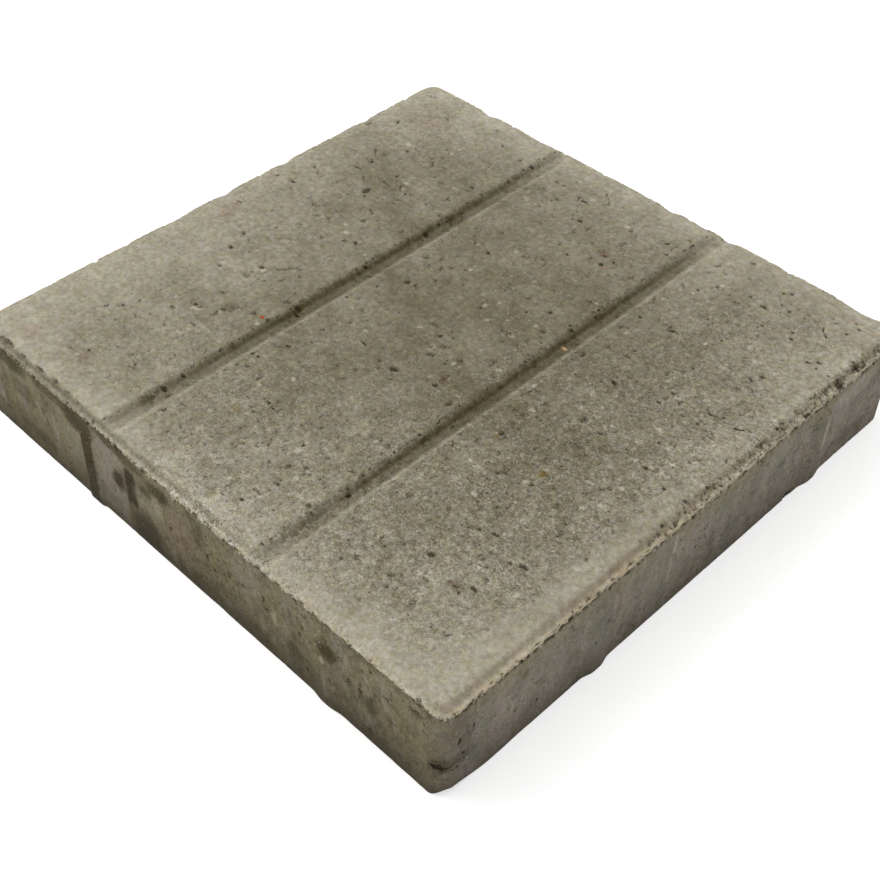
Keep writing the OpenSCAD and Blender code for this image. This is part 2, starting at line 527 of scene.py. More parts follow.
    voids: dict[Side, Rows] = field(
        default_factory=lambda: {
            Side.EAST: (
                (96, 2, 13, 5, 1.2, 1), (-189.5, 19.8, 9, 3.4, 1.3, 1, 199.7),
                (-187.5, 40, 4, 7, 1, 1, 199.6), (-177, 43.5, 3, 6, 0.8, 0.9),
                (-184, 27.6, 3.4, 3, 0.8, 1, 199.8), (-146, 25, 4.6, 4, 1, 1),
                (-140.5, 27, 3.6, 3.4, 0.8, 1), (-129.5, 17, 3.4, 3.8, 0.8, 1),
                (-117, 50, 2.6, 2.6, 0.6, 1), (-85.5, 25.6, 3, 3, 0.6, 1, 202),
                (-76.7, 36.7, 7, 8, 0.4, 0.6, 202), (-46, 16.7, 3, 3.2, 0.6, 1),
                (0.5, 32, 3.2, 3.2, 0.6, 1), (6, 42, 3, 3, 0.6, 1), (7, 6, 4, 3, 0.6, 1),
            ),
            Side.SOUTH: (
                (-87.2, 35, 3.4, 3.4, 0.7, 1, 201), (-83.3, 34.5, 3.2, 3.4, 0.7, 1, 201),
                (-34.5, 45.5, 3.6, 3.6, 0.8, 0.9), (-10.5, 33.3, 4, 3.8, 0.7, 0.85),
                (-50, 20, 5, 4, 0.6, 0.7), (12.8, 59, 3, 4, 0.6, 0.8), (22.5, 37, 3, 14, 0.5, 0.7),
                (30, 56.7, 3.4, 3.4, 0.6, 0.85), (28.3, 31, 3, 3.4, 0.7, 0.85),
                (40.5, 37, 4.4, 11, 0.6, 0.75), (52.5, 38.6, 10, 3, 0.6, 0.8),
                (14.5, 14.5, 3.4, 3.4, 0.6, 0.8), (37, 16.7, 3, 3.6, 0.6, 0.8),
                (69, 42.5, 3.4, 7, 0.7, 0.85), (71.5, 35.5, 8, 3.6, 0.7, 0.8),
                (99.5, 46.5, 3.4, 3.4, 0.7, 0.85), (97.5, 39, 4.6, 6, 0.6, 0.7),
                (118.5, 53.5, 2.6, 4.4, 0.6, 0.8, 201), (102, 14, 4.4, 5, 0.6, 0.75),
                (134, 35.5, 5, 7, 0.6, 0.7), (142.6, 35.3, 4, 5.6, 0.8, 0.85),
                (151, 36.5, 3, 4.6, 0.6, 0.7), (161.5, 47.5, 6, 3.4, 0.8, 0.9),
                (164.6, 50.8, 2.6, 3.6, 0.8, 0.9), (152.5, 47.8, 2.8, 2.6, 0.6, 0.8),
                (183, 58, 8, 4, 0.5, 0.65), (150, 9.5, 5, 4, 0.6, 0.75), (120.6, 24, 2.6, 3, 0.6, 0.8, 201),
            ),
        }
    )
    clouds: Rows = (
        (-150, -45, 55, 0.14), (-150, 115, 60, -0.12), (-120, -160, 40, -0.12), (80, 140, 38, 0.12),
        (40, -112, 42, 0.13), (120, 30, 45, 0.06), (150, 100, 35, 0.08), (-60, 90, 50, -0.05),
    )
    dips: dict[Side, Rows] = field(
        default_factory=lambda: {
            Side.NORTH: (
                (-142, 16, 1.8), (-94, 34, 1), (23, 16, 1.8), (48, 16, 0.9), (70, 15, 2), (116, 14, 0.8),
                (170, 36, 2),
            ),
            Side.WEST: (
                (-45, 34, 0.9), (-2, 16, 1.4), (52, 14, 1.4), (129, 14, 1.2),
            ),
        }
    )
    rims: dict[Side, RimWear] = field(
        default_factory=lambda: {
            Side.SOUTH: RimWear(1.3, 0.2, 170),
            Side.EAST: RimWear(1.4, 2.4, 330),
            Side.NORTH: RimWear(1.2, 1.0, 95),
            Side.WEST: RimWear(1.2, 1.0, 95),
        }
    )

    def __post_init__(self) -> None:
        """Works out what follows from the sizes: the section's rounded profiles too."""
        self.half = self.side / 2
        self.rim_height = self.thickness - self.relief
        self.grooves = (-self.groove_pitch / 2, self.groove_pitch / 2)
        relief = self.relief
        hidden = RoundedProfile([(0, relief), (2.6, relief), (5.2, 0.4), (10, 0)], 0.7)
        self.profiles = {
            Side.SOUTH: RoundedProfile([(0, relief), (2.4, relief), (4.6, 0.4), (9, 0)], 0.6),
            Side.EAST: RoundedProfile([(0, relief), (2.7, relief), (6.2, 0.5), (10, 0)], 0.7),
            Side.NORTH: hidden,
            Side.WEST: hidden,
        }
        outer = self.groove_top / 2
        inner = self.groove_floor / 2
        line = [(-outer - 1.0, 0), (-outer + 0.6, 0.7), (-inner, relief), (inner, relief), (outer, 0)]
        self.groove = RoundedProfile([(place - self.groove_drift, drop) for place, drop in line], 0.4)

    # ---- laying the grid

    def grid_lines(self, grooves: Sequence[float]) -> Array:
        """Lines of the grid that the top is laid on, closer where it turns.

        Args:
            grooves: centre lines of the grooves that cross these lines.

        Returns:
            The lines' places from one edge to the other.
        """
        fine = np.linspace(-self.half, self.half, 20001)
        rise = ease((self.half - np.abs(fine)) / self.edge_reach)
        step = self.edge_step + (self.open_step - self.edge_step) * rise
        for groove in grooves:
            rise = ease((np.abs(fine - groove) - self.groove_reach) / self.groove_reach)
            step = np.minimum(step, self.groove_step + (self.open_step - self.groove_step) * rise)
        return paced(fine, step, self.grid_count)

    def levels(self) -> Array:
        """Heights of the side's rings.

        Returns:
            The heights, from the rim down to the bed.
        """
        fine = np.linspace(0.0, self.rim_height, 4001)
        edge = np.minimum(fine, self.rim_height - fine)
        step = self.edge_step + (self.side_step - self.edge_step) * ease(edge / 6.0)
        return paced(fine, step)[::-1]

    def plan(self, u: Array, v: Array, inset: float = 0.0) -> tuple[Array, Array, Array]:
        """Lays points of the square on the slab's rounded outline.

        Args:
            u: place across, from -half to half.
            v: place along, from -half to half.
            inset: how far the whole outline is drawn in.

        Returns:
            X and Y, and the outward direction in plan, one to a row.
        """
        scale = (self.half - inset) / self.half
        straight = self.half - self.corner_radius
        past_u = np.maximum(np.abs(u) - straight, 0.0)
        past_v = np.maximum(np.abs(v) - straight, 0.0)
        size = np.hypot(past_u, past_v)
        safe = np.where(size > 0, size, 1.0)
        both = (past_u > 0) & (past_v > 0)
        shrink = np.where(both, np.maximum(past_u, past_v) / safe, 1.0)
        x = np.sign(u) * (np.minimum(np.abs(u), straight) + past_u * shrink)
        y = np.sign(v) * (np.minimum(np.abs(v), straight) + past_v * shrink)
        outward = [np.sign(u) * past_u / safe, np.sign(v) * past_v / safe, 0 * past_u]
        return x * scale, y * scale, np.stack(outward, axis=-1)

    def ring(self) -> tuple[Array, Array]:
        """Grid places round the outline, anticlockwise from the corner at -X -Y.

        Returns:
            The two indices of each place in the top grid.
        """
        last = self.grid_count
        rising = np.arange(last)
        low, high = np.zeros(last, int), np.full(last, last)
        first = np.concatenate([rising, high, high - rising, low])
        return first, np.concatenate([low, rising, high, high - rising])

    @staticmethod
    def round_arris(out: Array, up: Array, radius: float) -> tuple[Array, Array]:
        """Wraps the square end of two meeting faces onto a round arris.

        Args:
            out: distance past the arc's centre, outwards.
            up: distance past the arc's centre, along the other face.
            radius: the arc's radius.

        Returns:
            The two distances on the arc.
        """
        wraps = (out > 0) & (up > 0)
        size = np.hypot(out, up)
        shrink = np.where(wraps, np.maximum(out, up) / np.where(size > 0, size, radius), 1.0)
        return out * shrink, up * shrink

    def gaps(self, x: Array, y: Array) -> dict[Side, Array]:
        """Distance of each place in plan from each side."""
        south, west = y + self.half, x + self.half
        return {Side.SOUTH: south, Side.EAST: self.half - x, Side.NORTH: self.half - y, Side.WEST: west}

    def drop(self, x: Array, y: Array) -> Array:
        """How far the unworn top lies below the strips, at each place in plan."""
        drops = [self.profiles[side].at(gap) for side, gap in self.gaps(x, y).items()]
        return np.max(drops + [self.groove.at(x - centre) for centre in self.grooves], axis=0)

    def top_sheet(self, across: Array, along: Array) -> tuple[Array, Array]:
        """The unworn top, down to the outer arris of its rim.

        Args:
            across: places of the grid lines across the grooves.
            along: places of the grid lines along them.

        Returns:
            The grid of points, and each point's distance from the outline.
        """
        u, v = np.meshgrid(across, along, indexing="ij")
        x, y, outward = self.plan(u, v)
        edge = np.min(list(self.gaps(u, v).values()), axis=0)
        radius = self.arris_radius
        out, up = self.round_arris(radius - edge, np.full_like(edge, radius), radius)
        z = self.thickness - self.drop(u, v) + (up - radius) * (edge < radius)
        pull = (radius - edge - out) * (edge < radius)
        return np.stack([x, y, z], axis=-1) - outward * pull[..., None], edge

    def side_ring(self, across: Array, along: Array, height: float) -> Array:
        """One level ring of the sides, with its nibs and its round arrises.

        Args:
            across: each point's place across the grooves.
            along: each point's place along them.
            height: the ring's height.

        Returns:
            The ring's points.
        """
        x, y, outward = self.plan(across, along)
        points = np.stack([x, y, np.full_like(x, height)], axis=-1)
        swell = np.zeros(len(points))
        fall = (self.nib_top - points[:, 2]) / (self.nib_top - self.nib_shaft)
        for nib in self.nibs:
            faces = outward @ nib.side.outward > 0.99
            swell = np.maximum(swell, np.where(faces, nib.swell(points @ nib.side.along, fall), 0.0))
        past_rim = height - (self.rim_height - self.arris_radius)
        past_bed = self.bed_radius - height
        for past, radius, upward in ((past_rim, self.arris_radius, 1), (past_bed, self.bed_radius, -1)):
            if past > 0:
                out, rise = self.round_arris(np.full_like(x, radius), np.full_like(x, past), radius)
                points += outward * (out - radius)[:, None]
                points[:, 2] += upward * (rise - past)
        return points + outward * swell[:, None]

    def base_points(self) -> tuple[Array, Array, Array, Array]:
        """Places of all points before relief and wear.

        Returns:
            The top's grid, its distances from the outline, the rings of the sides
            from the rim down, and the bed's grid.
        """
        across = self.grid_lines(self.grooves)
        along = self.grid_lines(())
        first, second = self.ring()
        rings = [self.side_ring(across[first], along[second], height) for height in self.levels()[1:]]
        coarse = slice(None, None, self.bed_coarseness)
        u, v = np.meshgrid(across[coarse], along[coarse], indexing="ij")
        x, y, _ = self.plan(u, v, self.bed_inset)
        return *self.top_sheet(across, along), np.array(rings), np.stack([x, y, np.zeros_like(x)], axis=-1)

    # ---- building the mesh

    @staticmethod
    def grid_quads(grid: Array) -> Array:
        """Quads between the points of a grid, facing up."""
        corners = [grid[:-1, :-1], grid[1:, :-1], grid[1:, 1:], grid[:-1, 1:]]
        return np.stack(corners, axis=-1).reshape(-1, 4)

    def faces(self, top_count: int, ring_count: int) -> tuple[Array, Array]:
        """Corners of all faces.

        Three steps of the lowest ring meet one step of the bed's edge, by one
        quad and two triangles.

        Args:
            top_count: points of the top grid.
            ring_count: rings below the rim.

        Returns:
            The quads and the triangles, one face to a row.
        """
        around = 4 * self.grid_count
        grid = np.arange(top_count).reshape(self.grid_count + 1, self.grid_count + 1)
        first, second = self.ring()
        lower = top_count + np.arange(ring_count * around).reshape(ring_count, around)
        rings = np.vstack([grid[first, second][None, :], lower])
        after = np.roll(rings, -1, axis=1)
        walls = np.stack([rings[:-1], rings[1:], after[1:], after[:-1]], axis=-1).reshape(-1, 4)
        coarse = self.bed_coarseness
        bed_side = self.grid_count // coarse + 1
        bed = top_count + ring_count * around + np.arange(bed_side**2).reshape(bed_side, bed_side)
        inner = bed[first[::coarse] // coarse, second[::coarse] // coarse]
        inner_next = np.roll(inner, -1)
        outer, outer_second, outer_third = (rings[-1][step::coarse] for step in range(coarse))
        band = np.stack([outer_third, outer_second, inner, inner_next], axis=-1)
        fans = [(outer_second, outer, inner), (np.roll(outer, -1), outer_third, inner_next)]
        quads = [self.grid_quads(grid), walls, self.grid_quads(bed)[:, ::-1], band]
        return np.concatenate(quads), np.concatenate([np.stack(fan, axis=-1) for fan in fans])

    @staticmethod
    def mesh_of(points: Array, quads: Array, triangles: Array) -> bpy.types.Mesh:
        """Makes a mesh from points and faces.

        Args:
            points: places in millimetres.
            quads: four-cornered faces.
            triangles: three-cornered faces.

        Returns:
            The mesh, in metres.
        """
        mesh = bpy.data.meshes.new("slab_cast")
        mesh.vertices.add(len(points))
        mesh.vertices.foreach_set("co", (points * MM).astype(np.float32).ravel())
        corners = np.concatenate([quads.ravel(), triangles.ravel()]).astype(np.int32)
        mesh.loops.add(len(corners))
        mesh.loops.foreach_set("vertex_index", corners)
        starts = [4 * np.arange(len(quads)), 4 * len(quads) + 3 * np.arange(len(triangles))]
        mesh.polygons.add(len(quads) + len(triangles))
        mesh.polygons.foreach_set("loop_start", np.concatenate(starts).astype(np.int32))
        mesh.update(calc_edges=True)
        return mesh

    def build(self) -> bpy.types.Object:
        """Builds the whole casting as one closed mesh.

        Returns:
            The slab, in the shared frame.
        """
        top, edge, rings, bed = self.base_points()
        sheets = [sheet.reshape(-1, 3) for sheet in (top, rings, bed)]
        counts = [len(sheet) for sheet in sheets]
        points = np.concatenate(sheets)
        region = np.repeat([TOP, WALL, BED], counts)
        edge = np.concatenate([edge.ravel(), np.zeros(counts[WALL] + counts[BED])])
        mesh = self.mesh_of(points, *self.faces(counts[TOP], len(rings)))
        normals = np.empty(len(points) * 3, np.float32)
        mesh.vertex_normals.foreach_get("vector", normals)
        wear = SlabWear(self, points, region, edge)
        masks = wear.masks()
        points = points - normals.reshape(-1, 3) * wear.depth[:, None]
        points[:, 2] = np.maximum(points[:, 2], 0.0) + wear.front_corner_lift()
        mesh.vertices.foreach_set("co", (points * MM).astype(np.float32).ravel())
        for mask in Mask:
            layer = mesh.attributes.new(mask.value, "FLOAT", "POINT")
            layer.data.foreach_set("value", masks[mask].astype(np.float32))
        mesh.update()
        slab = put("slab_cast", mesh)
        self.lighten(slab, np.maximum(wear.inside, masks[Mask.FLECK]) > self.kept_from)
        slab.data.polygons.foreach_set("use_smooth", [True] * len(slab.data.polygons))
        return slab

    def lighten(self, slab: bpy.types.Object, kept: Array) -> None:
        """Drops triangles where the surface is flat, down to the most allowed.

        Args:
            slab: the casting, which gets the lighter mesh.
            kept: the points that stay as they are.
        """
        full = sum(len(face.vertices) - 2 for face in slab.data.polygons)
        group = slab.vertex_groups.new(name="kept")
        group.add(np.flatnonzero(kept).tolist(), 1.0, "REPLACE")
        log.info("%d points are kept as they are", int(kept.sum()))
        thin = slab.modifiers.new("thin", "DECIMATE")
        thin.ratio = self.most_triangles / full
        thin.vertex_group = group.name
        thin.invert_vertex_group = True
        shown = slab.evaluated_get(bpy.context.evaluated_depsgraph_get())
        light = bpy.data.meshes.new_from_object(shown)
        slab.modifiers.remove(thin)
        slab.vertex_groups.remove(group)
        heavy = slab.data
        slab.data = light
        light.name = "slab_cast"
        bpy.data.meshes.remove(heavy)


class HollowDraw:
    """Gathers the casting's hollows: the known ones, and seeded ones between them."""

    def __init__(self, slab: SlabCasting) -> None:
        """Starts the draw from the casting's seed.

        Args:
            slab: the casting's sizes and known marks.
        """
        self.slab = slab
        self.rng = np.random.default_rng(slab.seed)
        self.found = HollowSet()
        self.reach = slab.half - 8

    def height(self, x: float, y: float) -> float:
        """Height of the unworn top at a place."""
        return self.slab.thickness - float(self.slab.drop(x, y))

    def flecks(self) -> HollowSet:
        """Gathers the pale grains in the top, which lie level with it.

        Returns:
            The grains.
        """
        grains = HollowSet()
        for row in self.slab.flecks:
            grains.mark(Mark(*row), self.height(row[0], row[1]))
        return grains

    def hollows(self) -> HollowSet:
        """Gathers all hollows.

        Returns:
            The hollows.
        """
        slab = self.slab
        for row in slab.marks:
            self.found.mark(Mark(*row), self.height(row[0], row[1]))
        for place, turn, *sizes in slab.corner_slits:
            self.found.add(place, turn, *sizes)
        for side, rows in slab.voids.items():
            for along, height, length, width, depth, dark, *out in rows:
                place = side.place(along, height, *(out or [slab.half]))
                self.found.add(place, side.along, length, width, depth, dark)
        self.pores()
        for side in Side:
            self.bites(side)
            self.side_voids(side)
        self.crumbs()
        self.fringe_row()
        for groove in slab.grooves:
            self.chips(groove - slab.groove_top / 2)
        return self.found

    def pores(self) -> None:
        """Scatters open pores over the strips, in loose clusters."""
        slab, rng = self.slab, self.rng
        reach = slab.half - 4.0
        count = slab.pore_tries
        plan = rng.uniform(-reach, reach, (count, 2))
        places = np.column_stack([plan, np.full(count, slab.thickness)])
        thick = LatticeNoise(slab.seed + 7).layered(places, 34.0, 3, 0.7)
        margin = np.minimum(slab.half - places[:, 0], slab.half + places[:, 1])
        thick = thick - 1.2 * ease((34.0 - margin) / 22.0)
        for place, crowd in zip(places, thick, strict=True):
            if rng.uniform() > 0.42 + 1.3 * crowd:
                continue
            size = 1.1 + rng.gamma(1.4, 0.45)
            axis = random_axis(rng)
            dark = rng.uniform(0.55, 1.0)
            self.found.add(place, axis, size * rng.uniform(1.0, 2.1), size, 0.2 + 0.24 * size, dark)

    def bites(self, side: Side) -> None:
        """Scatters small bites along the rim's outer arris.

        Args:
            side: the side whose rim is bitten.
        """
        slab, rng = self.slab, self.rng
        lower, least = (2.8, 1.5) if side is Side.EAST else (1.2, 1.2)
        for _ in range(slab.rims[side].bites):
            along = rng.uniform(-self.reach, self.reach)
            inward = max(rng.normal(-0.5, 0.8), 0.0)
            below = abs(rng.normal(lower, 1.0)) * (inward == 0.0)
            place = side.place(along, 0.0, slab.half - inward)
            below += float(hang(slab.half - place[0], place[1])) * (inward == 0.0)
            place = place + UP * (slab.rim_height - below)
            size = least + rng.gamma(1.5, 0.5)
            dark = rng.uniform(0.7, 1.0)
            self.found.add(place, side.along, size * rng.uniform(1.0, 2.0), size, 0.3 + 0.2 * size, dark)

    def side_voids(self, side: Side) -> None:
        """Scatters air voids over a moulded side.

        Args:
            side: the side face.
        """
        slab, rng = self.slab, self.rng
        for _ in range(slab.south_voids if side is Side.SOUTH else slab.other_voids):
            along = rng.uniform(-self.reach, self.reach)
            if side is Side.SOUTH and along < rng.uniform(-200.0, 40.0):
                continue
            place = side.place(along, rng.uniform(4.0, slab.rim_height - 4), slab.half)
            size = 1.2 + rng.gamma(1.3, 0.5)
            dark = rng.uniform(0.55, 1.0)
            self.found.add(place, side.along, size * rng.uniform(0.8, 1.6), size, 0.2 + 0.2 * size, dark)

    def crumbs(self) -> None:
        """Scatters torn places over the flank of the east rim, most towards the back."""
        rng = self.rng
        for _ in range(self.slab.torn_places):
            y = 190.0 - 240.0 * rng.uniform() ** 1.3
            x = self.slab.half - 1.5 - abs(rng.normal(2.5, 2.2))
            axis = random_axis(rng)
            size = 1.6 + rng.gamma(1.4, 0.5)
            length = size * rng.uniform(1.0, 2.0)
            place = (x, y, self.height(x, y))
            self.found.add(place, axis, length, size, 0.3 + 0.2 * size, rng.uniform(0.5, 0.95))

    def fringe_row(self) -> None:
        """Sets a row of torn pits under the east rim, where its fringe ends."""
        rng, slab = self.rng, self.slab
        y = -slab.half + 16.0
        while y < -25.0:
            place = (slab.half, y, slab.rim_height - 3.6 - rng.uniform(0.0, 1.6))
            size = rng.uniform(1.9, 3.3)
            self.found.add(place, Side.EAST.along, 1.2 * size, size, 0.9)
            # one draw is passed over, so that the later ones stay as they are
            rng.uniform()
            y += rng.uniform(3.5, 8.0)

    def chips(self, arris: float) -> None:
        """Scatters chips along the west arris of a groove.

        Args:
            arris: the arris's place across.
        """
        slab, rng = self.slab, self.rng
        for _ in range(slab.groove_chips):
            x = arris + rng.normal(0.3, 0.9)
            y = rng.uniform(-slab.half + 6, slab.half - 6)
            size = rng.uniform(1.4, 3.0)
            axis = random_axis(rng)
            self.found.add((x, y, slab.thickness - 0.4), axis, size, 0.7 * size, rng.uniform(0.4, 0.9))


def hang(east: Array, y: Array) -> Array:
    """How much lower the sandy fringe hangs on the east side, behind the front third."""
    return near(east, 6.0) * ease((y + 110.0) / 60.0)


class SlabWear:
    """Relief, wear and dirt of the casting's surface, and where light and shade are painted on it, worked
    out point by point.

    The numbers in its sums are places and reaches on the slab, and depths, all in
    millimetres, or shares from 0 to 1.
    """

    def __init__(self, slab: SlabCasting, points: Array, region: Array, edge: Array) -> None:
        """Works out the relief and the wear.

        Args:
            slab: the casting's sizes and known marks.
            points: the smooth surface.
            region: TOP, WALL or BED for each point.
            edge: distance from the outline, 0 but on the top.
        """
        self.slab, self.points, self.region, self.edge = slab, points, region, edge
        self.x, self.y, self.z = points.T
        self.gap = slab.gaps(self.x, self.y)
        self.south, self.east, self.north, self.west = self.gap.values()
        self.below_rim = slab.rim_height - self.z
        self.arris = np.select([region == TOP, region == WALL], [edge, self.below_rim], 50.0)
        self.noise = LatticeNoise(slab.seed)
        self.other = LatticeNoise(slab.seed + 1)
        across = np.stack([self.x - centre for centre in slab.grooves])
        nearest = np.abs(across).argmin(axis=0)
        self.groove_place = across[nearest, np.arange(len(points))]
        self.film = self.film_and_highlight_share()
        self.depth = 0.28 * (0.5 + 0.5 * self.noise.layered(points, 55.0, 2))
        self.open_skin()
        self.crumble_edges()
        self.wear_back_rims()
        self.press_hollows()
        waves = 0.3 * (0.5 + 0.5 * self.noise.layered(points, 40.0, 2))
        self.depth = np.where(region == BED, waves, self.depth)

    def open_skin(self) -> None:
        """Presses in the sandy skin and its open pores."""
        points, is_top = self.points, self.region == TOP
        sandy = self.noise.layered(points, 3.6, 2, 0.7)
        self.depth += np.where(is_top, 0.10, 0.04) * (0.5 + 0.5 * sandy)
        crowd = self.noise.layered(points + 50.0, 30.0, 2)
        rough_east = near(self.east, 7.5) * ease((self.y + 70.0) / 70.0)
        rough_south = near(self.south, 6.5) * ease((-40.0 - self.x) / 50.0)
        self.rough = is_top * (rough_east + 0.8 * rough_south)
        opened = self.other.layered(points + 23.0, 5.2, 3, 0.7) - 0.22 * crowd - 0.16 * self.rough
        opened += 0.4 * ease((self.film - 0.45) / 0.3) * is_top * (1.0 - self.rough)
        self.pores = ease((-0.20 - opened) / 0.22) * np.where(is_top, 1.0, 0.25)
        self.depth += 0.6 * self.pores

    def crumble_edges(self) -> None:
        """Crumbles the rim's arris, the foot, and the flanks that have worn rough."""
        points, arris = self.points, self.arris
        crumble = np.ones(len(points))
        self.fringe = np.full(len(points), 0.5)
        for side, rim in self.slab.rims.items():
            beyond = near(self.gap[side], 6.0)
            crumble += (rim.crumble - 1.0) * beyond
            self.fringe += (rim.fringe - 0.5) * beyond
        self.fringe += hang(self.east, self.y)
        hanging = 0.9 * ease((self.x + 70.0) / 50.0) * ease((150.0 - self.x) / 90.0)
        self.fringe += near(self.south, 6.0) * (hanging + 0.9 * near(self.x - 15.0, 70.0))
        self.chips = self.other.layered(points, 9.0, 3, 0.6)
        self.crumbs = self.noise.layered(points + 31.0, 3.4, 2, 0.8)
        grains = self.other.layered(points + 61.0, 2.0, 2, 0.8)
        sizes = ((2.0, 0.15, self.chips), (1.4, 0.5, self.crumbs), (2.2, 0.6, grains))
        for reach, strength, lumps in sizes:
            self.depth += crumble * near(arris, reach) * strength * np.maximum(lumps - 0.05, 0.0)
        self.depth += self.rough * 0.9 * np.maximum(self.crumbs + 0.1, 0.0)
        bumps = self.other.layered(points + 9.0, 16.0, 3, 0.6)
        foot = np.select([self.region == WALL, self.region == BED], [self.z, 0.0], 50.0)
        self.depth += near(foot, 2.0) * 0.5 * np.maximum(bumps - 0.05, 0.0)

    def wear_back_rims(self) -> None:
        """Wears the rims at the back uneven, with their dips, and each groove's west wall."""
        back = ease((self.y - self.x + 60.0) / 120.0)
        rolling = self.other.layered(self.points + 77.0, 24.0, 3, 0.6)
        self.depth += near(self.arris, 3.0) * back * 1.1 * (np.maximum(rolling - 0.12, 0.0) - 0.5)
        for side, rows in self.slab.dips.items():
            for centre, width, depth in rows:
                place = (self.points @ side.along - centre) / (width / 2)
                bowl = near(place, 0.75) * near(self.gap[side], 4.0) * near(self.below_rim, 5.0)
                self.depth += depth * bowl
        west_wall = near(self.groove_place + self.slab.groove_top / 2, 1.9)
        self.depth += west_wall * (self.region == TOP) * 0.85 * np.maximum(self.crumbs + 0.15, 0.0)

    def press_hollows(self) -> None:
        """Presses in the hollows, and finds where the pale grains lie."""
        tree = KDTree(len(self.points))
        for number, point in enumerate(self.points):
            tree.insert(point, number)
        tree.balance()
        ragged = self.other.at(self.points + 5.0, 1.7)
        draw = HollowDraw(self.slab)
        pressed, self.inside = draw.hollows().press(self.points, tree, ragged)
        self.depth += pressed
        _, self.fleck = draw.flecks().press(self.points, tree, ragged)

    def on(self, top: Any, wall: Any, bed: Any = 0.0) -> Array:
        """Picks each point's value by its region."""
        return np.select([self.region == TOP, self.region == WALL], [top, wall], bed)

    def masks(self) -> dict[Mask, Array]:
        """Works out what the mesh carries to its material.

        Returns:
            The values of each mask.
        """
        return {
            Mask.SIDE: self.moulded(),
            Mask.BED: (self.region == BED).astype(float),
            Mask.FILM: self.film,
            Mask.SOIL: self.soil(),
            # Where shade is painted into the hollows and open pores.
            Mask.PIT: np.maximum(self.inside, 0.7 * self.pores),
            Mask.RIM: self.rim_share(),
            Mask.COARSE: self.coarse() + 0.5 * self.rough,
            Mask.BITTEN: self.bitten(),
            Mask.FLECK: self.fleck,
        }

    def moulded(self) -> Array:
        """How far the moulded skin of the sides shows.

        Returns:
            Its share, from 0 on the rim to 1.
        """
        south = near(self.south, 6.0)
        reach = np.maximum(self.fringe * (1.0 + (1.6 + 1.2 * south) * self.crumbs), 0.0)
        skin = 0.5 + (self.below_rim - reach) / (1.6 + 1.4 * south)
        return self.on(0.0, np.clip(skin, 0.0, 1.0), 1.0)

    def rim_share(self) -> Array:
        """Where the rim's pale tan skin shows: on the rim and on the crumbs below it.

        Returns:
            Its share, from 0 to 1.
        """
        rim = near(np.maximum(self.edge - 1.7, 0.0), 0.9)
        soiled = near(self.south, 12.0) * ease((-30.0 - self.x) / 70.0)
        dulled = near(self.east, 12.0) * ease((self.y + 80.0) / 160.0)
        hidden = np.maximum(near(self.north, 12.0), near(self.west, 12.0))
        share = self.on(rim, near(self.below_rim, 3.0))
        return share * (1.0 - soiled) * (1.0 - 0.7 * dulled) * (1.0 - 0.65 * hidden)

    def bitten(self) -> Array:
        """Where small pits crowd: just below the rim's arris, most on the east side.

        Returns:
            How thickly they lie, from 0 to 1.
        """
        below = near(np.abs(self.slab.rim_height - 2.6 - hang(self.east, self.y) - self.z) - 0.5, 1.3)
        east = near(self.east, 6.0) * (1.0 - 0.5 * ease((self.y + 90.0) / 60.0))
        south = 0.6 * near(self.south, 6.0) * ease((self.x + 60.0) / 60.0)
        return self.on(0.3 * near(self.edge, 1.0), below) * np.maximum(east, south)

    def coarse(self) -> Array:
        """How coarse and open the sand lies: most in the middle of the front strip.

        Returns:
            Its coarseness, about 1 where it is usual.
        """
        x, y = self.x, self.y
        worn = 0.82 + 0.75 * ease((x - y + 100.0) / 400.0)
        sandy = 0.85 * near(self.south, 22.0) * near(x - 10.0, 70.0)
        sandy += 0.25 * near(self.south, 26.0) * ease((x - 40.0) / 60.0)
        sandy += 0.5 * near(self.east, 24.0) * ease((y + 30.0) / 60.0)
        sandy += 0.22 * near(x - 140.0, 60.0) * ease((y + 40.0) / 80.0)
        sandy -= 0.16 * near(x + 10.0, 90.0) * near(y - 10.0, 110.0)
        return worn * (1.0 - 0.62 * ease((self.film - 0.25) / 0.55)) + sandy

    def front_corner_lift(self) -> Array:
        """How far the foot of the east face is worn up near the front corner.

        Returns:
            The lift in millimetres.
        """
        run = ease((-163.0 - self.y) / 34.0)
        face = ease((self.x - 184.0) / 11.0) * ease((self.x + self.y + 9.0) / 14.0)
        return 5.3 * run * face * np.clip(1.0 - self.z / 16.0, 0.0, 1.0)

    def film_and_highlight_share(self) -> Array:
        """Pale cement skin, which gathers towards the edges of the top, and a painted highlight along each
        groove's east arris.

        Returns:
            How much of it lies at each point.
        """
        bare = 1 - 0.60 * np.exp(-self.west / 85.0)
        bare = bare * (1 - 0.48 * np.exp(-self.east / 50.0)) * (1 - 0.60 * np.exp(-self.north / 60.0))
        bare = bare * (1 - 0.64 * np.exp(-self.south / 75.0))
        rubbed_and_highlight = 0.52 * near(self.east, 17.0) + 0.58 * near(self.south, 15.0)
        rubbed_and_highlight += 0.45 * near(self.north, 17.0) + 0.12 * near(self.west, 17.0)
        # Painted highlight: the pale colour is laid along each groove's east arris, which faces the lamp.
        rubbed_and_highlight += 0.32 * near(self.groove_place + self.slab.groove_drift - 6.4, 1.3)
        cloud = 0.12 * self.noise.layered(self.points, 45.0, 3)
        for x, y, reach, amount in self.slab.clouds:
            cloud += amount * near(np.hypot(self.x - x, self.y - y), reach)
        cloud += 0.10 * near(self.south, 12.0) * near(self.x - 12.0, 55.0)
        return np.clip(1.0 - bare * (1 - np.minimum(rubbed_and_highlight, 0.7)) + cloud, 0.0, 1.1)

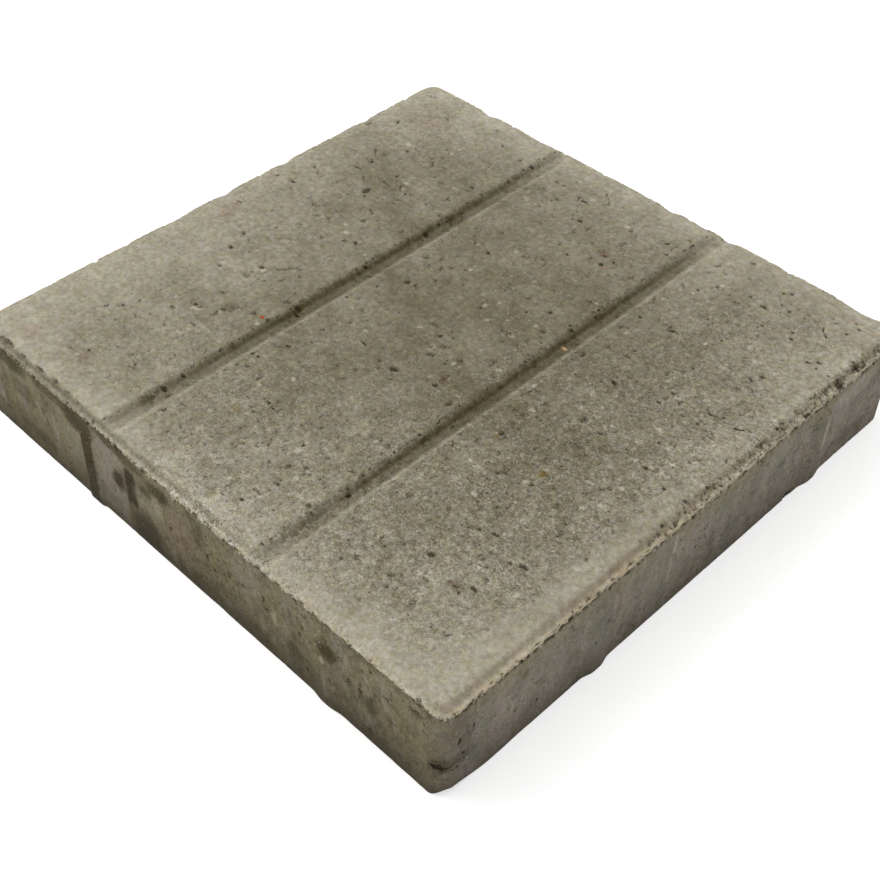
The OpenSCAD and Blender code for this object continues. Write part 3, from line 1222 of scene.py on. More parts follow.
    def soil(self) -> Array:
        """Dark dirt in the grooves and along the south flank, and painted shade on each groove's west wall,
        on the east flank and at the foot of the sides.

        Returns:
            Dirt and painted shade at each point, from 0 to 1.
        """
        x, y, edge = self.x, self.y, self.edge
        patchy = self.chips + 0.8 * self.crumbs
        inner = self.groove_place + self.slab.groove_drift - 0.9 * (x > 0)
        floor = 0.52 * ease((inner + 4.0) / 2.0) * ease((3.0 - inner) / 1.2)
        fades = 1.0 - 0.5 * near(self.south, 75.0) - 0.26 * ease((y - 90.0) / 60.0)
        fades -= np.where(x > 0, 0.4, 0.3) * ease((y - 145.0) / 38.0)
        # Painted shade on each groove's west wall, which faces away from the lamp; the floor term is dirt
        # on the groove's floor.
        channel = np.maximum(0.92 * near(inner + 4.5, 2.8), floor) * fades * ease(edge / 9.0)
        along = 0.5 * ease((90.0 - x) / 60.0) + 0.22 * ease((-40.0 - x) / 50.0)
        flank = near(edge - 3.6, 1.8) * along * near(self.south, 12.0)
        # Painted shade on the east rim's flank, which faces away from the lamp.
        dusk = 0.66 + 0.12 * ease((y + 140.0) / 80.0) - 0.16 * ease((y - 30.0) / 60.0)
        shaded = dusk * near(edge - 4.3, 2.0) * near(self.east, 12.0)
        dirty = 0.6 * ease((-50.0 - x) / 60.0) * near(self.south, 2.5) * (1.0 + 0.9 * patchy)
        # Painted shade: the sides darken towards the foot, where they meet the floor.
        foot = near(self.z, 4.0) * 0.45 + 0.8 * ease((40.0 - self.z) / 40.0)
        total = self.on(np.max([channel, flank, shaded, dirty], axis=0), foot)
        return np.clip(total * (1.0 + 0.35 * patchy), 0.0, 1.0)


# --------------------------------------------------------------- node building


class Value:
    """The value at a socket. A sum on it adds a Math or a VectorMath node."""

    def __init__(self, bench: "NodeBench", socket: bpy.types.NodeSocket) -> None:
        """Takes the socket and the bench of its tree."""
        self.bench = bench
        self.socket = socket

    def sum(self, operation: str, *others: Any, **settings: Any) -> "Value":
        """One sum on this value and others, in order."""
        kind = "Math" if self.socket.type == "VALUE" else "VectorMath"
        return self.bench.add(kind, dict(enumerate((self, *others))), operation=operation, **settings)

    def __add__(self, other: Any) -> "Value":
        """This and the other."""
        return self.sum("ADD", other)

    def __sub__(self, other: Any) -> "Value":
        """This less the other."""
        return self.sum("SUBTRACT", other)

    def __mul__(self, other: Any) -> "Value":
        """This times the other."""
        return self.sum("MULTIPLY", other)

    def __truediv__(self, other: Any) -> "Value":
        """This over the other."""
        return self.sum("DIVIDE", other)

    def __or__(self, other: Any) -> "Value":
        """The greater of the two."""
        return self.sum("MAXIMUM", other)

    def line(self, slope: Any, start: Any, **settings: Any) -> "Value":
        """The start, and this times the slope."""
        return self.sum("MULTIPLY_ADD", slope, start, **settings)

    def ramp(self, low: float, high: float, start: Any = 0.0, end: Any = 1.0) -> "Value":
        """Smooth rise from start to end as this goes from low to high."""
        inputs = {"Value": self, "From Min": low, "From Max": high, "To Min": start, "To Max": end}
        return self.bench.add("MapRange", inputs, interpolation_type="SMOOTHSTEP")

    def between(self, start: Any, end: Any) -> "Value":
        """Smooth rise from start to end as this goes from 0 to 1."""
        return self.ramp(0.0, 1.0, start, end)


class NodeBench:
    """Adds and links nodes in one tree."""

    def __init__(self, tree: bpy.types.NodeTree) -> None:
        """Takes the tree to work in."""
        self.tree = tree

    def node(self, kind: str, inputs: dict[str | int, Any], **settings: Any) -> bpy.types.Node:
        """Adds one node.

        Args:
            kind: the node's type, without its ShaderNode prefix.
            inputs: for each socket a value of the tree, a plain one or a display colour.
            settings: the node's own settings.

        Returns:
            The node.
        """
        made = self.tree.nodes.new("ShaderNode" + kind)
        for name, setting in settings.items():
            setattr(made, name, setting)
        for key, value in inputs.items():
            self.feed(made.inputs[key], value)
        return made

    def feed(self, socket: bpy.types.NodeSocket, value: Any) -> None:
        """Feeds one socket.

        Args:
            socket: the socket.
            value: a value of the tree, a plain one or a display colour.
        """
        if isinstance(value, Value):
            self.tree.links.new(value.socket, socket)
        else:
            socket.default_value = shade(value) if isinstance(value, str) else value

    def add(self, kind: str, inputs: dict[str | int, Any], output: str | int = 0, **settings: Any) -> Value:
        """Adds one node, and gives the value at one of its outputs."""
        return Value(self, self.node(kind, inputs, **settings).outputs[output])

    def all_of(self, kind: str, inputs: dict[str | int, Any], **settings: Any) -> dict[str, Value]:
        """Adds one node, and gives the values at all its outputs, by name."""
        return {socket.name: Value(self, socket) for socket in self.node(kind, inputs, **settings).outputs}

    def mix(self, share: Any, first: Any, second: Any, blend: str = "MIX") -> Value:
        """Mixes two colours: the first at a share of 0, the second at 1."""
        return self.add("Mix", {0: share, 6: first, 7: second}, 2, data_type="RGBA", blend_type=blend)

    def noise(self, place: Any, wave: float, detail: float, rough: float = 0.5) -> Value:
        """Noise from 0 to 1 with a wavelength in the place's own units."""
        inputs = {"Vector": place, "Scale": 1.0 / wave, "Detail": detail, "Roughness": rough}
        return self.add("TexNoise", inputs)

    def wander(self, place: Any, scale: float, detail: float, rough: float = 0.5) -> Value:
        """A vector that wanders smoothly about zero, within a half each way."""
        inputs = {"Vector": place, "Scale": scale, "Detail": detail, "Roughness": rough}
        return self.add("TexNoise", inputs, "Color") - (0.5, 0.5, 0.5)

    def cells(self, place: Any, wave: float) -> tuple[Value, ...]:
        """Uneven cells.

        Args:
            place: where to look.
            wave: usual size of a cell, in the place's own units.

        Returns:
            Distance to the cell's middle, and two values from 0 to 1 of the cell's own.
        """
        found = self.all_of("TexVoronoi", {"Vector": place, "Scale": 1.0 / wave})
        own = self.all_of("SeparateColor", {0: found["Color"]})
        return found["Distance"], own["Red"], own["Green"]

    def mask(self, mask: Mask) -> Value:
        """A value that the mesh carries."""
        return self.add("Attribute", {}, "Fac", attribute_name=mask.value)


class EffectGroup(NodeBench):
    """An effect that several finishes share, kept as one node group."""

    def __init__(self, name: str, outputs: str, **inputs: Any) -> None:
        """Makes the empty group with its sockets.

        Args:
            name: the group's name.
            outputs: the outputs' names, parted by spaces.
            inputs: each input's usual value, or None for a place or a size.
        """
        super().__init__(bpy.data.node_groups.new(name, "ShaderNodeTree"))
        for socket, usual in inputs.items():
            kind = "NodeSocketVector" if usual is None else "NodeSocketFloat"
            made = self.tree.interface.new_socket(socket, in_out="INPUT", socket_type=kind)
            if usual is not None:
                made.default_value = usual
        for socket in outputs.split():
            self.tree.interface.new_socket(socket, in_out="OUTPUT", socket_type="NodeSocketFloat")
        given = self.tree.nodes.new("NodeGroupInput").outputs
        self.given = {socket: Value(self, given[socket]) for socket in inputs}
        self.result = self.tree.nodes.new("NodeGroupOutput").inputs

    def unit(self, size: str) -> Value:
        """The place over one of the given sizes."""
        return self.given["Place"] / self.given[size]

    def gap(self) -> Value:
        """The place from the given centre, over the given size."""
        return (self.given["Place"] - self.given["Centre"]) / self.given["Size"]

    def give(self, **results: Value) -> "EffectGroup":
        """Feeds the outputs, and gives the group itself."""
        for name, value in results.items():
            self.feed(self.result[name], value)
        return self


class Effects:
    """The effects that the finishes share, each built once."""

    def __init__(self) -> None:
        """Builds every group."""
        self.sand = self.build_sand()
        self.pits = self.build_pits()
        self.mottle = self.build_mottle()
        self.spot = self.build_spot()
        self.patch = self.build_patch()

    @staticmethod
    def build_sand() -> EffectGroup:
        """Sand: a tone for each grain and clump, scattered pale grains, and their relief.

        Returns:
            The group.
        """
        group = EffectGroup("sand_grain", "Tone Lumps Pale Height", Place=None, Grain=1.0)
        unit = group.unit("Grain")
        reach, own, _ = group.cells(unit, 0.95)
        _, stone, _ = group.cells(unit, 2.3)
        clump = group.noise(unit, 1.8, 3.0, 0.7) - 0.5
        cloud = group.noise(unit, 7.0, 3.0, 0.65) - 0.5
        tone = clump.line(1.1, (stone - 0.5).line(0.28, (own - 0.5) * 0.5))
        bent = group.wander(unit, 0.55, 2.0).line((4.0, 4.0, 4.0), unit)
        inputs = {"Vector": bent, "Scale": 1.0 / 4.6}
        creases = group.add("TexVoronoi", inputs, "Distance", feature="DISTANCE_TO_EDGE").ramp(0.13, 0.0)
        creases = creases * group.noise(unit + (5.0, 17.0, 3.0), 7.5, 2.0).ramp(0.46, 0.60)
        swell = (group.noise(unit + (8.0, 2.0, 25.0), 3.6, 2.0, 0.6) - 0.5) * 1.9
        grit = group.noise(unit + (21.0, 4.0, 9.0), 1.25, 3.0, 0.62)
        crowd = group.noise(unit + (2.0, 31.0, 7.0), 8.0, 2.0)
        small = crowd.line(0.30, grit).ramp(0.77, 0.83)
        middle, _, chosen = group.cells(unit, 9.0)
        fleck = chosen.ramp(0.62, 0.95, 0.0, 0.85) * clump.line(0.7, middle).ramp(0.21, 0.12)
        return group.give(
            Tone=cloud.line(1.0, tone),
            Lumps=creases.line(-0.45, swell),
            Pale=small * 0.8 | fleck,
            Height=reach.line(-0.5, clump * 2.2),
        )

    @staticmethod
    def build_pits() -> EffectGroup:
        """Uneven small dark holes and short bent cracks, which crowd together in places, where shade is
        painted.

        Returns:
            The group.
        """
        group = EffectGroup("small_pits", "Mask", Place=None, Size=2.0, Share=0.5)
        unit = group.unit("Size")
        holes = group.noise(unit, 1.0, 3.0, 0.72)
        crowd = group.noise(unit + (7.0, 3.0, 11.0), 9.0, 2.0)
        level = crowd.line(0.22, group.given["Share"].line(0.1, 0.20))
        deep = (level - holes).ramp(0.0, 0.05)
        bend = group.noise(unit + (3.0, 9.0, 5.0), 1.1, 1.0) - 0.5
        line = bend.sum("ABSOLUTE").ramp(0.045, 0.012)
        short = group.noise(unit + (13.0, 1.0, 8.0), 1.7, 1.0)
        ends = level.line(0.8, short).ramp(0.86, 0.94, 0.0, 0.7)
        return group.give(Mask=deep | line * ends)

    @staticmethod
    def build_mottle() -> EffectGroup:
        """Cloudy variation, stretched by a vector of sizes, from -1 to 1."""
        group = EffectGroup("mottle", "Tone", Place=None, Stretch=None, Turn=0.0)
        return group.give(
            Tone=(group.noise(group.unit("Stretch") + group.given["Turn"], 1.0, 3.0, 0.6) - 0.5) * 3.0
        )

    @staticmethod
    def build_spot() -> EffectGroup:
        """One soft round patch at a centre, 1 inside and 0 outside."""
        group = EffectGroup("spot", "Mask", Place=None, Centre=None, Size=None)
        reach = group.add("VectorMath", {0: group.gap()}, "Value", operation="LENGTH")
        return group.give(Mask=reach.ramp(1.1, 0.45))

    @staticmethod
    def build_patch() -> EffectGroup:
        """One squarish patch at a centre, 1 inside and 0 outside."""
        group = EffectGroup("patch", "Mask", Place=None, Centre=None, Size=None)
        parts = group.all_of("SeparateXYZ", {0: group.gap().sum("ABSOLUTE")})
        return group.give(Mask=(parts["X"] | parts["Y"] | parts["Z"]).ramp(1.15, 0.78))


class Dresser(NodeBench):
    """The bench of the casting's material, with what all its finishes work from."""

    def __init__(self, tree: bpy.types.NodeTree, effects: Effects, grain: float) -> None:
        """Sets out the place in millimetres, the sand, and where the moulded skin shows.

        Args:
            tree: the material's empty tree.
            effects: the shared groups.
            grain: size of the sand's grains.
        """
        super().__init__(tree)
        self.effects = effects
        self.place = self.add("TexCoord", {}, "Object") * (1 / MM, 1 / MM, 1 / MM)
        edged = self.noise(self.place, 1.6, 2.0) - 0.5
        self.side = edged.line(2.4, self.mask(Mask.SIDE)).ramp(0.35, 0.65)
        self.frayed = self.noise(self.place, 1.3, 2.0, 0.7) - 0.5
        inputs = {"Place": self.place * (1.0, 1.0, 0.6), "Grain": grain}
        self.sand = self.all_of("Group", inputs, node_tree=effects.sand.tree)

    def mottle(self, stretch: tuple[float, float, float], turn: float = 0.0) -> Value:
        """Cloudy variation, from -1 to 1."""
        inputs = {"Place": self.place, "Stretch": stretch, "Turn": turn}
        return self.add("Group", inputs, node_tree=self.effects.mottle.tree)

    def pits(self, size: float, share: float) -> Value:
        """Small holes and cracks, from 0 to 1."""
        inputs = {"Place": self.place, "Size": size, "Share": share}
        return self.add("Group", inputs, node_tree=self.effects.pits.tree)

    def patch(self, group: EffectGroup, place: Value, centre: Array, size: Array) -> Value:
        """A spot or a patch, from 0 to 1."""
        inputs = {"Place": place, "Centre": tuple(centre), "Size": tuple(size)}
        return self.add("Group", inputs, node_tree=group.tree)

    def toned(self, colour: Value, tone: Value) -> Value:
        """Makes a colour lighter or darker.

        Args:
            colour: the colour.
            tone: by how much, in powers of two.

        Returns:
            The colour, browner where it is darker.
        """
        powers = [tone * share for share in (0.92, 1.0, 1.17)]
        factors = [self.add("Math", {0: 2.0, 1: power}, operation="POWER") for power in powers]
        return colour * self.add("CombineXYZ", dict(enumerate(factors)))


# -------------------------------------------------------------------- finishes


@dataclass(frozen=True)
class PressedFace:
    """Finish of the top, pressed sandy and open, with a pale cement skin at its edges, and with painted
    highlight and painted shade on its grooves, east flank and hollows.

    Attributes:
        drifts: rows of where in the noise a faint drift of hue is taken from, its
            wavelength, detail and roughness, and its two tints.
        stains: rows of X, Y, width, length, colour and strength.
    """

    body: str = "716a56"
    # Pale cement skin, also laid as painted highlight along the grooves' east arrises.
    film: str = "b9b3a1"
    rim: str = "bcae96"
    south_rim: str = "bbb3a0"
    # The next colour is dirt in the grooves and on the south flank, and painted shade on the grooves' west
    # walls; flank is the brown of the painted shade on the east flank.
    soil: str = "4a4228"
    flank: str = "84765f"
    # Colour of the shade painted into pits and hollows.
    pit: str = "2a2312"
    pale_grain: str = "d2ccba"
    drifts: Rows = (
        ((5.0, 8.0, 2.0), 9.0, 2.0, 0.5, (1.022, 0.992, 0.985, 1.0), (0.976, 1.008, 1.0, 1.0)),
        ((31.0, 1.0, 12.0), 5.0, 1.0, 0.6, (1.0, 1.0, 0.93, 1.0), (1.0, 1.0, 1.055, 1.0)),
    )
    grain: float = 0.95
    relief: float = 0.22
    stains: Rows = (
        (25, 127, 12, 7, "6b4a3c", 0.5), (34, 116, 8, 6, "7d6354", 0.5),
        (-79.7, -71.2, 4.4, 3.4, "b0502f", 0.95), (127, -48, 6, 9, "6f5a2c", 0.8),
        (90, -45, 4, 5, "786535", 0.6), (65.5, 41.5, 6, 3.6, "c9a877", 0.8),
        (-165, -180, 26, 14, "a3907f", 0.35), (170, 185, 22, 10, "9c8b7c", 0.4),
        (-180, -14, 14, 20, "9b8576", 0.4), (-125, -170, 14, 10, "8d7566", 0.4),
        (-101, -79, 11, 12, "6e5f4c", 0.45), (-29, -134, 10, 6, "6e5f30", 0.6),
        (36, -33, 9, 8, "77614e", 0.4), (148, -138, 15, 8, "5f4a3c", 0.4),
        (-162, 158, 26, 14, "a48c7b", 0.3), (76, 190, 8, 12, "bdb6a8", 0.6),
        (199, 132, 5.5, 6.5, "26281a", 0.9), (199.5, 98, 4.5, 6, "2e2a1b", 0.85),
        (196, 152, 5, 8, "3a3524", 0.7), (-70, -166, 12, 10, "57503a", 0.6),
        (14, -201, 120, 9, "d8d2c2", 0.5),
    )

    def colour(self, bench: Dresser) -> Value:
        """Colours the top.

        Args:
            bench: the material's bench.

        Returns:
            The colour.
        """
        # Pale cement skin, and the painted highlight along the grooves' east arrises.
        film = bench.mottle((26, 26, 26)).line(0.2, bench.mask(Mask.FILM), use_clamp=True)
        colour = bench.mix(film, self.body, self.film)
        parts = bench.all_of("SeparateXYZ", {0: bench.place})
        rim = bench.mix(parts["Y"].ramp(-190.0, -196.0), self.rim, self.south_rim)
        colour = bench.mix(bench.mask(Mask.RIM) * 0.85, colour, rim)
        # Dirt, and painted shade on the grooves' west walls and, in the flank colour, on the east flank.
        tan = parts["X"].ramp(187.0, 191.0) * parts["Y"].ramp(90.0, -60.0, 0.7, 1.0)
        colour = bench.mix(bench.mask(Mask.SOIL), colour, bench.mix(tan, self.soil, self.flank))
        uneven = bench.wander(bench.place, 0.7, 2.0).line((1.6, 1.6, 1.6), bench.place)
        for x, y, width, length, code, strength in self.stains:
            size = (width / 2, length / 2, 6.0)
            spot = bench.patch(bench.effects.spot, uneven, (x, y, 69.5), size)
            colour = bench.mix(spot * strength, colour, code)
        return colour


@dataclass(frozen=True)
class MouldedSide:
    """Finish of the sides, smoothed by the mould, with runs and damp patches, painted shade at the foot and
    in small holes, and painted light on the east face.

    Attributes:
        patches: rows of a patch's middle along and its height, its length, its rise,
            its colour and strength, and True where its edges are straight.
    """

    south: str = "797057"
    # Lighter than the south partly as painted light, making up for the floor beside the east face lying in
    # the lamp's shadow; its purple-grey hue is its own.
    east: str = "8f867b"
    green: str = "78766a"
    olive: str = "8c846b"
    dark: str = "3f3922"
    pale: str = "a8a095"
    # Colour of the painted shade towards the foot of the sides.
    soil: str = "3f392d"
    patches: dict[Side, Rows] = field(
        default_factory=lambda: {
            Side.SOUTH: (
                (-140, 50, 28, 24, "857e64", 0.35), (-104, 38, 32, 56, "8b8570", 0.6),
                (-162, 61, 34, 16, "47442e", 0.85), (-116, 63, 62, 13, "4f4833", 0.7),
                (-99, 58, 24, 20, "453d29", 0.85), (-90, 58.5, 34, 22, "494230", 0.9),
                (-152, 43, 27, 23, "565039", 0.62), (-139, 14, 32, 14, "504736", 0.55),
                (-65.5, 33, 29, 60, "8b8275", 0.85, True), (-65, 51, 18, 20, "938a7e", 0.4),
                (-61, 63.5, 40, 11, "51493a", 0.85), (-86, 27, 12.5, 58, "3f3624", 0.95, True),
                (-86, 4, 17, 20, "2c271c", 0.7), (-52, 39.5, 13, 22, "54493a", 0.75),
                (-58, 37.5, 12.5, 21, "372e1f", 0.92), (-45.5, 39.5, 9.6, 30, "362e1d", 0.95, True),
                (-45, 60, 34, 12, "574b38", 0.7), (-29, 39, 32, 28, "8b8570", 0.7),
                (-21.5, 42, 10, 15, "9a937d", 0.6), (-18.5, 55.5, 29, 13.5, "454029", 0.92),
                (-31, 47.5, 14, 11, "4b4430", 0.8), (-4, 35, 26, 50, "84705f", 0.4),
                (-35, 12, 36, 32, "3a3526", 0.88), (-32, 4, 44, 12, "272319", 0.7),
                (-15, 20.5, 9, 6.5, "544534", 0.7), (15, 7, 70, 15, "463e31", 0.55),
                (56, 48, 30, 36, "8b8274", 0.5), (88, 60, 26, 14, "6f664e", 0.5),
                (70, 39, 12, 14, "585038", 0.5), (77.6, 36, 6, 12, "a9a28c", 0.65),
                (119.2, 46, 20, 16, "413922", 0.92), (125, 30, 18, 26, "776b5d", 0.55),
                (115.6, 35.5, 4.5, 9, "aba48e", 0.6), (116.8, 14, 2.4, 26, "988e80", 0.6, True),
                (93, 22, 17, 16, "4b432f", 0.75), (108, 14, 14, 20, "54503f", 0.5),
                (150.5, 31, 10, 19, "4a432d", 0.75), (134, 35, 8, 12, "554d38", 0.5),
                (183, 57.5, 12, 9, "57503c", 0.55), (57, 8, 42, 16, "4f4538", 0.65),
                (150, 6, 80, 14, "4c4339", 0.5), (196, 26, 13, 17, "423a2c", 0.7),
                (195.5, 24, 12, 5, "1f1a11", 0.85),
            ),
            Side.EAST: (
                (-169, 35, 8, 62, "7b7868", 0.5, True), (-127, 47, 28, 46, "7d7a69", 0.5),
                (-82.5, 33, 19, 62, "79766a", 0.45, True), (-32, 35, 34, 80, "7e7c6d", 0.5),
                (-21.8, 52, 2.6, 14, "b3ab9d", 0.6, True), (-24, 32, 1.8, 20, "a9a194", 0.5, True),
                (124.5, 34, 6.6, 20, "b8b0a0", 0.5, True), (116, 45, 12, 34, "716d60", 0.6),
                (150, 53, 54, 20, "a09c92", 0.55), (160, 12, 50, 15, "5e594f", 0.5),
                (80, 52, 60, 22, "8e8a7e", 0.4), (-188, 46, 26, 52, "645c50", 0.6),
            ),
        }
    )

    def colour(self, bench: Dresser) -> Value:
        """Colours the sides.

        Args:
            bench: the material's bench.

        Returns:
            The colour.
        """
        parts = bench.all_of("SeparateXYZ", {0: bench.place})
        east = (parts["X"] + parts["Y"]).ramp(-20.0, 20.0)
        # The east face's lighter colour is partly painted light.
        colour = bench.mix(east, self.south, self.east)
        greened = bench.mottle((13, 13, 55), 14.0).ramp(-0.2, 0.5) * east.between(0.25, 0.75)
        colour = bench.mix(greened, colour, self.green)
        upper = parts["Z"].ramp(40.0, 66.0) * 0.75 * east.between(0.75, 1.0)
        colour = bench.mix(upper, colour, self.olive)
        uneven = east.between(1.0, 0.5)
        damp = bench.mottle((13, 13, 24), 3.0).ramp(-0.1, 0.7) * uneven
        colour = bench.mix(damp * 0.6, colour, self.dark)
        dry = bench.mottle((13, 13, 50), 9.0).ramp(-0.1, 0.7) * uneven
        colour = bench.mix(dry * 0.45, colour, self.pale)
        small = bench.mottle((4.0, 4.0, 9.0), 5.0) * (uneven * 0.36)
        lighter = bench.add("Math", {0: 2.0, 1: small}, operation="POWER")
        colour = bench.add("VectorMath", {0: colour, "Scale": lighter}, operation="SCALE")
        smudge = bench.mottle((7, 7, 12), 21.0).ramp(0.2, 0.5) * uneven
        colour = bench.mix(smudge * 0.3, colour, self.dark)
        # Painted shade in small holes on the sides.
        colour = bench.mix(bench.pits(5.0, 1.0) * east.between(0.55, 0.5), colour, self.dark)
        colour = self.patched(bench, colour)
        # Painted shade towards the foot, weaker towards the back of the east face.
        washed = parts["Y"].ramp(60.0, 185.0, 0.12, 0.48)
        strength = bench.add("Math", {0: 0.8, 1: east * washed}, operation="SUBTRACT")
        return bench.mix(bench.mask(Mask.SOIL) * strength, colour, self.soil)

    def patched(self, bench: Dresser, colour: Value) -> Value:
        """Lays on the patches.

        Args:
            bench: the material's bench.
            colour: the colour under them.

        Returns:
            The colour.
        """
        shift = bench.wander(bench.place, 0.12, 3.0, 0.7)
        warped = shift.line((8.0, 8.0, 9.0), bench.place)
        steady = shift.line((2.0, 2.0, 3.0), bench.place)
        for side, rows in self.patches.items():
            for along, height, length, rise, code, strength, *straight in rows:
                centre = side.place(along, height, 200.0)
                size = 40.0 * np.abs(side.outward) + length / 2 * side.along + UP * rise / 2
                group = bench.effects.patch if straight else bench.effects.spot
                mask = bench.patch(group, steady if straight else warped, centre, size)
                colour = bench.mix(mask * strength, colour, code)
        return colour


@dataclass(frozen=True)
class CastConcrete:
    """The one material of the casting, with a finish for each kind of face."""

    top: PressedFace = PressedFace()
    sides: MouldedSide = MouldedSide()
    bed: str = "746d5b"
    roughness: float = 0.92
    gloss: float = 0.16

    def build(self, effects: Effects) -> bpy.types.Material:
        """Builds the material.

        Args:
            effects: the shared groups.

        Returns:
            The material.
        """
        material = bpy.data.materials.new("cast_concrete")
        bench = Dresser(emptied(material), effects, self.top.grain)
        colour = bench.mix(bench.side, self.top.colour(bench), self.sides.colour(bench))
        colour = bench.mix(bench.mask(Mask.BED), colour, self.bed)
        colour = bench.toned(colour, self.grain_tone(bench))
        for shift, wave, detail, rough, first, second in self.top.drifts:
            drift = bench.noise(bench.place + shift, wave, detail, rough).ramp(0.35, 0.65)
            colour = bench.mix(1.0, colour, bench.mix(drift, first, second), "MULTIPLY")
        colour = self.pitted(bench, self.grained(bench, colour))
        relief = bench.mask(Mask.COARSE).ramp(0.5, 1.4, 0.6 * self.top.relief, self.top.relief)
        height = bench.sand["Height"] * relief
        inputs = {
            "Base Color": colour,
            "Roughness": bench.sand["Tone"].ramp(-0.6, 0.6, self.roughness - 0.06, self.roughness + 0.05),
            "Normal": bench.add("Bump", {"Strength": 1.0, "Distance": MM, "Height": height}),
            "Specular IOR Level": self.gloss,
        }
        bench.node("OutputMaterial", {"Surface": bench.add("BsdfPrincipled", inputs)})
        return material

    @staticmethod
    def grain_tone(bench: Dresser) -> Value:
        """Works out how much lighter or darker the sand makes each place.

        Args:
            bench: the material's bench.

        Returns:
            The tone, in powers of two.
        """
        strength = bench.side.between(bench.mask(Mask.COARSE).ramp(0.56, 1.76, 0.24, 1.72), 0.6)
        lumps = bench.mask(Mask.FILM).ramp(0.35, 0.95, 0.8, 0.62)
        lumps = bench.sand["Lumps"] * bench.side.between(lumps, 0.25)
        smooth = bench.mask(Mask.COARSE).ramp(0.5, 1.3, 0.75, 0.2) * bench.side.between(1.0, 0.0)
        blotch = bench.noise(bench.place + (40.0, 3.0, 9.0), 11.0, 2.0, 0.6) - 0.5
        return blotch.line(smooth, bench.sand["Tone"].line(strength, lumps))

    def grained(self, bench: Dresser, colour: Value) -> Value:
        """Strews pale grains over a colour.

        Args:
            bench: the material's bench.
            colour: the colour.

        Returns:
            The colour.
        """
        clean = bench.mask(Mask.SOIL).line(-1.2, 1.0, use_clamp=True) * bench.side.between(0.75, 0.25)
        shown = clean * bench.mask(Mask.COARSE).ramp(0.6, 1.4, 0.4, 1.0)
        colour = bench.mix(bench.sand["Pale"] * shown, colour, self.top.pale_grain)
        fleck = bench.frayed.line(1.2, bench.mask(Mask.FLECK)).ramp(0.25, 0.85)
        return bench.mix(fleck * 0.45, colour, self.top.pale_grain)

    def pitted(self, bench: Dresser, colour: Value) -> Value:
        """Paints shade into the small pits and the hollows of the mesh, by darkening a colour.

        Args:
            bench: the material's bench.
            colour: the colour.

        Returns:
            The colour.
        """
        bare = bench.mask(Mask.COARSE).ramp(0.5, 1.4) | bench.side * 0.55
        holes = (bench.pits(1.5, 0.7) * 0.8 | bench.pits(3.1, 0.6)) * bare
        holes = holes | bench.pits(2.3, 1.55) * bench.mask(Mask.BITTEN)
        hollow = bench.frayed.line(1.5, bench.mask(Mask.PIT)).ramp(0.25, 1.0)
        dark = holes * 0.72 | hollow * bench.side.between(0.84, 0.95)
        return bench.mix(dark, colour, self.top.pit)


# ---------------------------------------------------------------------- studio


def emptied(owner: bpy.types.Material | bpy.types.World) -> bpy.types.NodeTree:
    """Gives a material or a world an empty tree.

    Args:
        owner: the material or the world.

    Returns:
        The tree.
    """
    owner.use_nodes = True
    owner.node_tree.nodes.clear()
    return owner.node_tree


def direction(azimuth: float, elevation: float) -> Vector:
    """Unit vector from the slab towards a viewer or a lamp.

    Args:
        azimuth: degrees round from -Y towards +X.
        elevation: degrees above the floor.

    Returns:
        The direction.
    """
    turn = math.radians(azimuth)
    rise = math.radians(elevation)
    flat = math.cos(rise)
    return Vector((math.sin(turn) * flat, -math.cos(turn) * flat, math.sin(rise)))


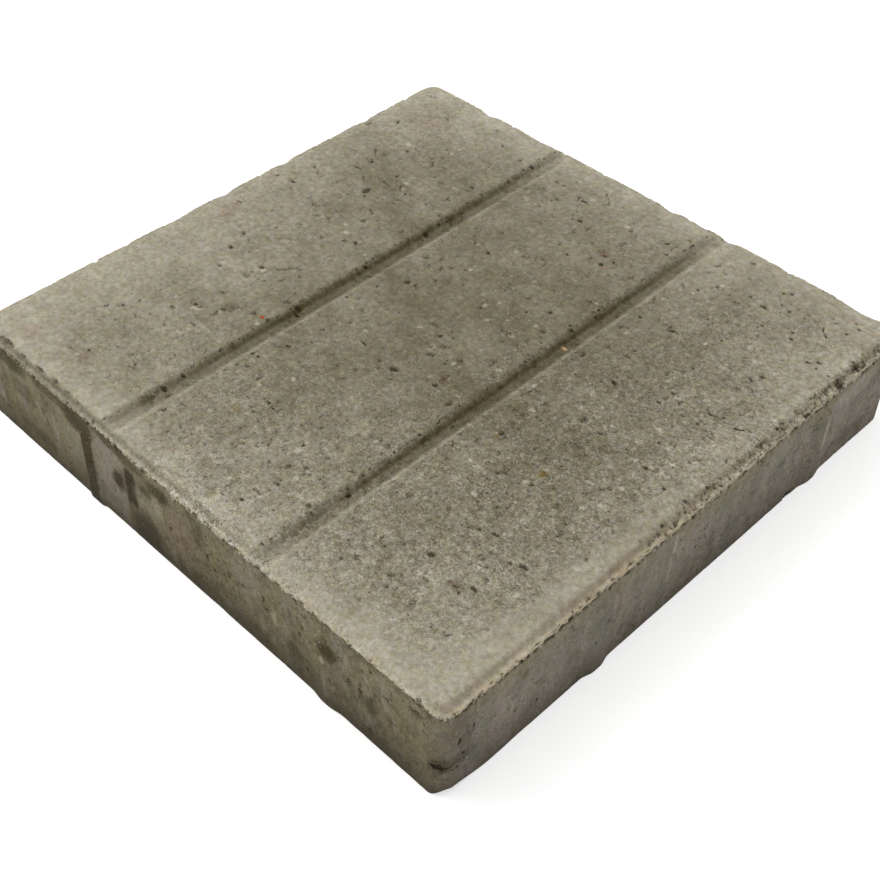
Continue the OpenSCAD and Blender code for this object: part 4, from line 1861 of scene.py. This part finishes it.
@dataclass(frozen=True)
class Studio:
    """Pale floor, one soft lamp and even light all round."""

    floor_side: float = 8.0
    floor_tone: float = 0.8
    floor_glow: float = 0.5
    room: float = 0.735
    lamp_side: float = 1.8
    lamp_distance: float = 2.6
    lamp_azimuth: float = 300.0
    lamp_elevation: float = 50.0
    lamp_power: float = 23.0
    lamp_colour: tuple[float, float, float] = (1.0, 0.99, 0.97)

    def build(self) -> None:
        """Builds the floor, the world and the lamp."""
        self.build_floor()
        self.build_world()
        self.build_lamp()

    @staticmethod
    def seen(bench: NodeBench) -> Value:
        """1 for rays from the camera, off gloss or through glass."""
        path = bench.all_of("LightPath", {})
        return path["Is Camera Ray"] | path["Is Glossy Ray"] | path["Is Transmission Ray"]

    def build_floor(self) -> None:
        """Lays the floor, which shows white outside the slab's shadow."""
        reach = self.floor_side / 2
        mesh = bpy.data.meshes.new("floor")
        corners = [(-reach, -reach, 0), (reach, -reach, 0), (reach, reach, 0), (-reach, reach, 0)]
        mesh.from_pydata(corners, [], [(0, 1, 2, 3)])
        material = bpy.data.materials.new("pale_floor")
        bench = NodeBench(emptied(material))
        inputs = {
            "Base Color": (self.floor_tone, self.floor_tone, self.floor_tone, 1.0),
            "Roughness": 1.0,
            "Specular IOR Level": 0.0,
            "Emission Color": WHITE,
            "Emission Strength": self.seen(bench) * self.floor_glow,
        }
        bench.node("OutputMaterial", {"Surface": bench.add("BsdfPrincipled", inputs)})
        mesh.materials.append(material)
        floor = put("floor", mesh)

    def build_world(self) -> None:
        """Sets the even light of the room, and a white backdrop."""
        world = bpy.data.worlds.new("room")
        bench = NodeBench(emptied(world))
        strength = self.seen(bench).line(1.0 - self.room, self.room)
        light = bench.add("Background", {"Color": WHITE, "Strength": strength})
        bench.node("OutputWorld", {"Surface": light})
        bpy.context.scene.world = world

    def build_lamp(self) -> None:
        """Hangs the soft lamp, aimed at the slab."""
        lamp = bpy.data.lights.new("soft_lamp", "AREA")
        lamp.shape = "SQUARE"
        lamp.size = self.lamp_side
        lamp.energy = self.lamp_power
        lamp.color = self.lamp_colour
        holder = put("soft_lamp", lamp)
        towards = direction(self.lamp_azimuth, self.lamp_elevation)
        holder.location = towards * self.lamp_distance
        holder.rotation_euler = towards.to_track_quat("Z", "Y").to_euler()


@dataclass(frozen=True)
class SlabCamera:
    """The camera, which looks down over the slab's front corner."""

    azimuth: float = 45.98
    elevation: float = 42.03
    roll: float = -0.10
    distance: float = 0.964
    target: tuple[float, float, float] = (-0.0496, 0.0040, 0.0)
    lens: float = 60.08
    sensor: float = 36.0
    shift_x: float = 0.0622
    shift_y: float = -0.0811

    def build(self) -> None:
        """Sets up the camera and makes it the scene's own."""
        data = bpy.data.cameras.new("camera")
        data.lens = self.lens
        data.sensor_width = self.sensor
        data.shift_x = self.shift_x
        data.shift_y = self.shift_y
        data.clip_start = 0.01
        back = direction(self.azimuth, self.elevation)
        turn = math.radians(self.azimuth)
        level = Vector((math.cos(turn), math.sin(turn), 0.0))
        up = back.cross(level)
        roll = math.radians(self.roll)
        right = math.cos(roll) * level + math.sin(roll) * up
        top = math.cos(roll) * up - math.sin(roll) * level
        axes = Matrix((right, top, back)).transposed().to_4x4()
        place = Vector(self.target) + self.distance * back
        camera = put("camera", data)
        camera.matrix_world = Matrix.Translation(place) @ axes
        bpy.context.scene.camera = camera


def main() -> None:
    """Builds the studio, the camera and the slab."""
    logging.basicConfig(level=logging.INFO, format="%(name)s: %(message)s")
    bpy.context.scene.view_settings.view_transform = "Standard"
    Studio().build()
    SlabCamera().build()
    log.info("studio and camera are up")
    effects = Effects()
    slab = SlabCasting().build()
    slab.data.materials.clear()
    slab.data.materials.append(CastConcrete().build(effects))
    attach(slab, "root")
    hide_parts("slab")
    log.info("slab_cast has %d triangles", sum(len(f.vertices) - 2 for f in slab.data.polygons))


if __name__ == "__main__":
    main()
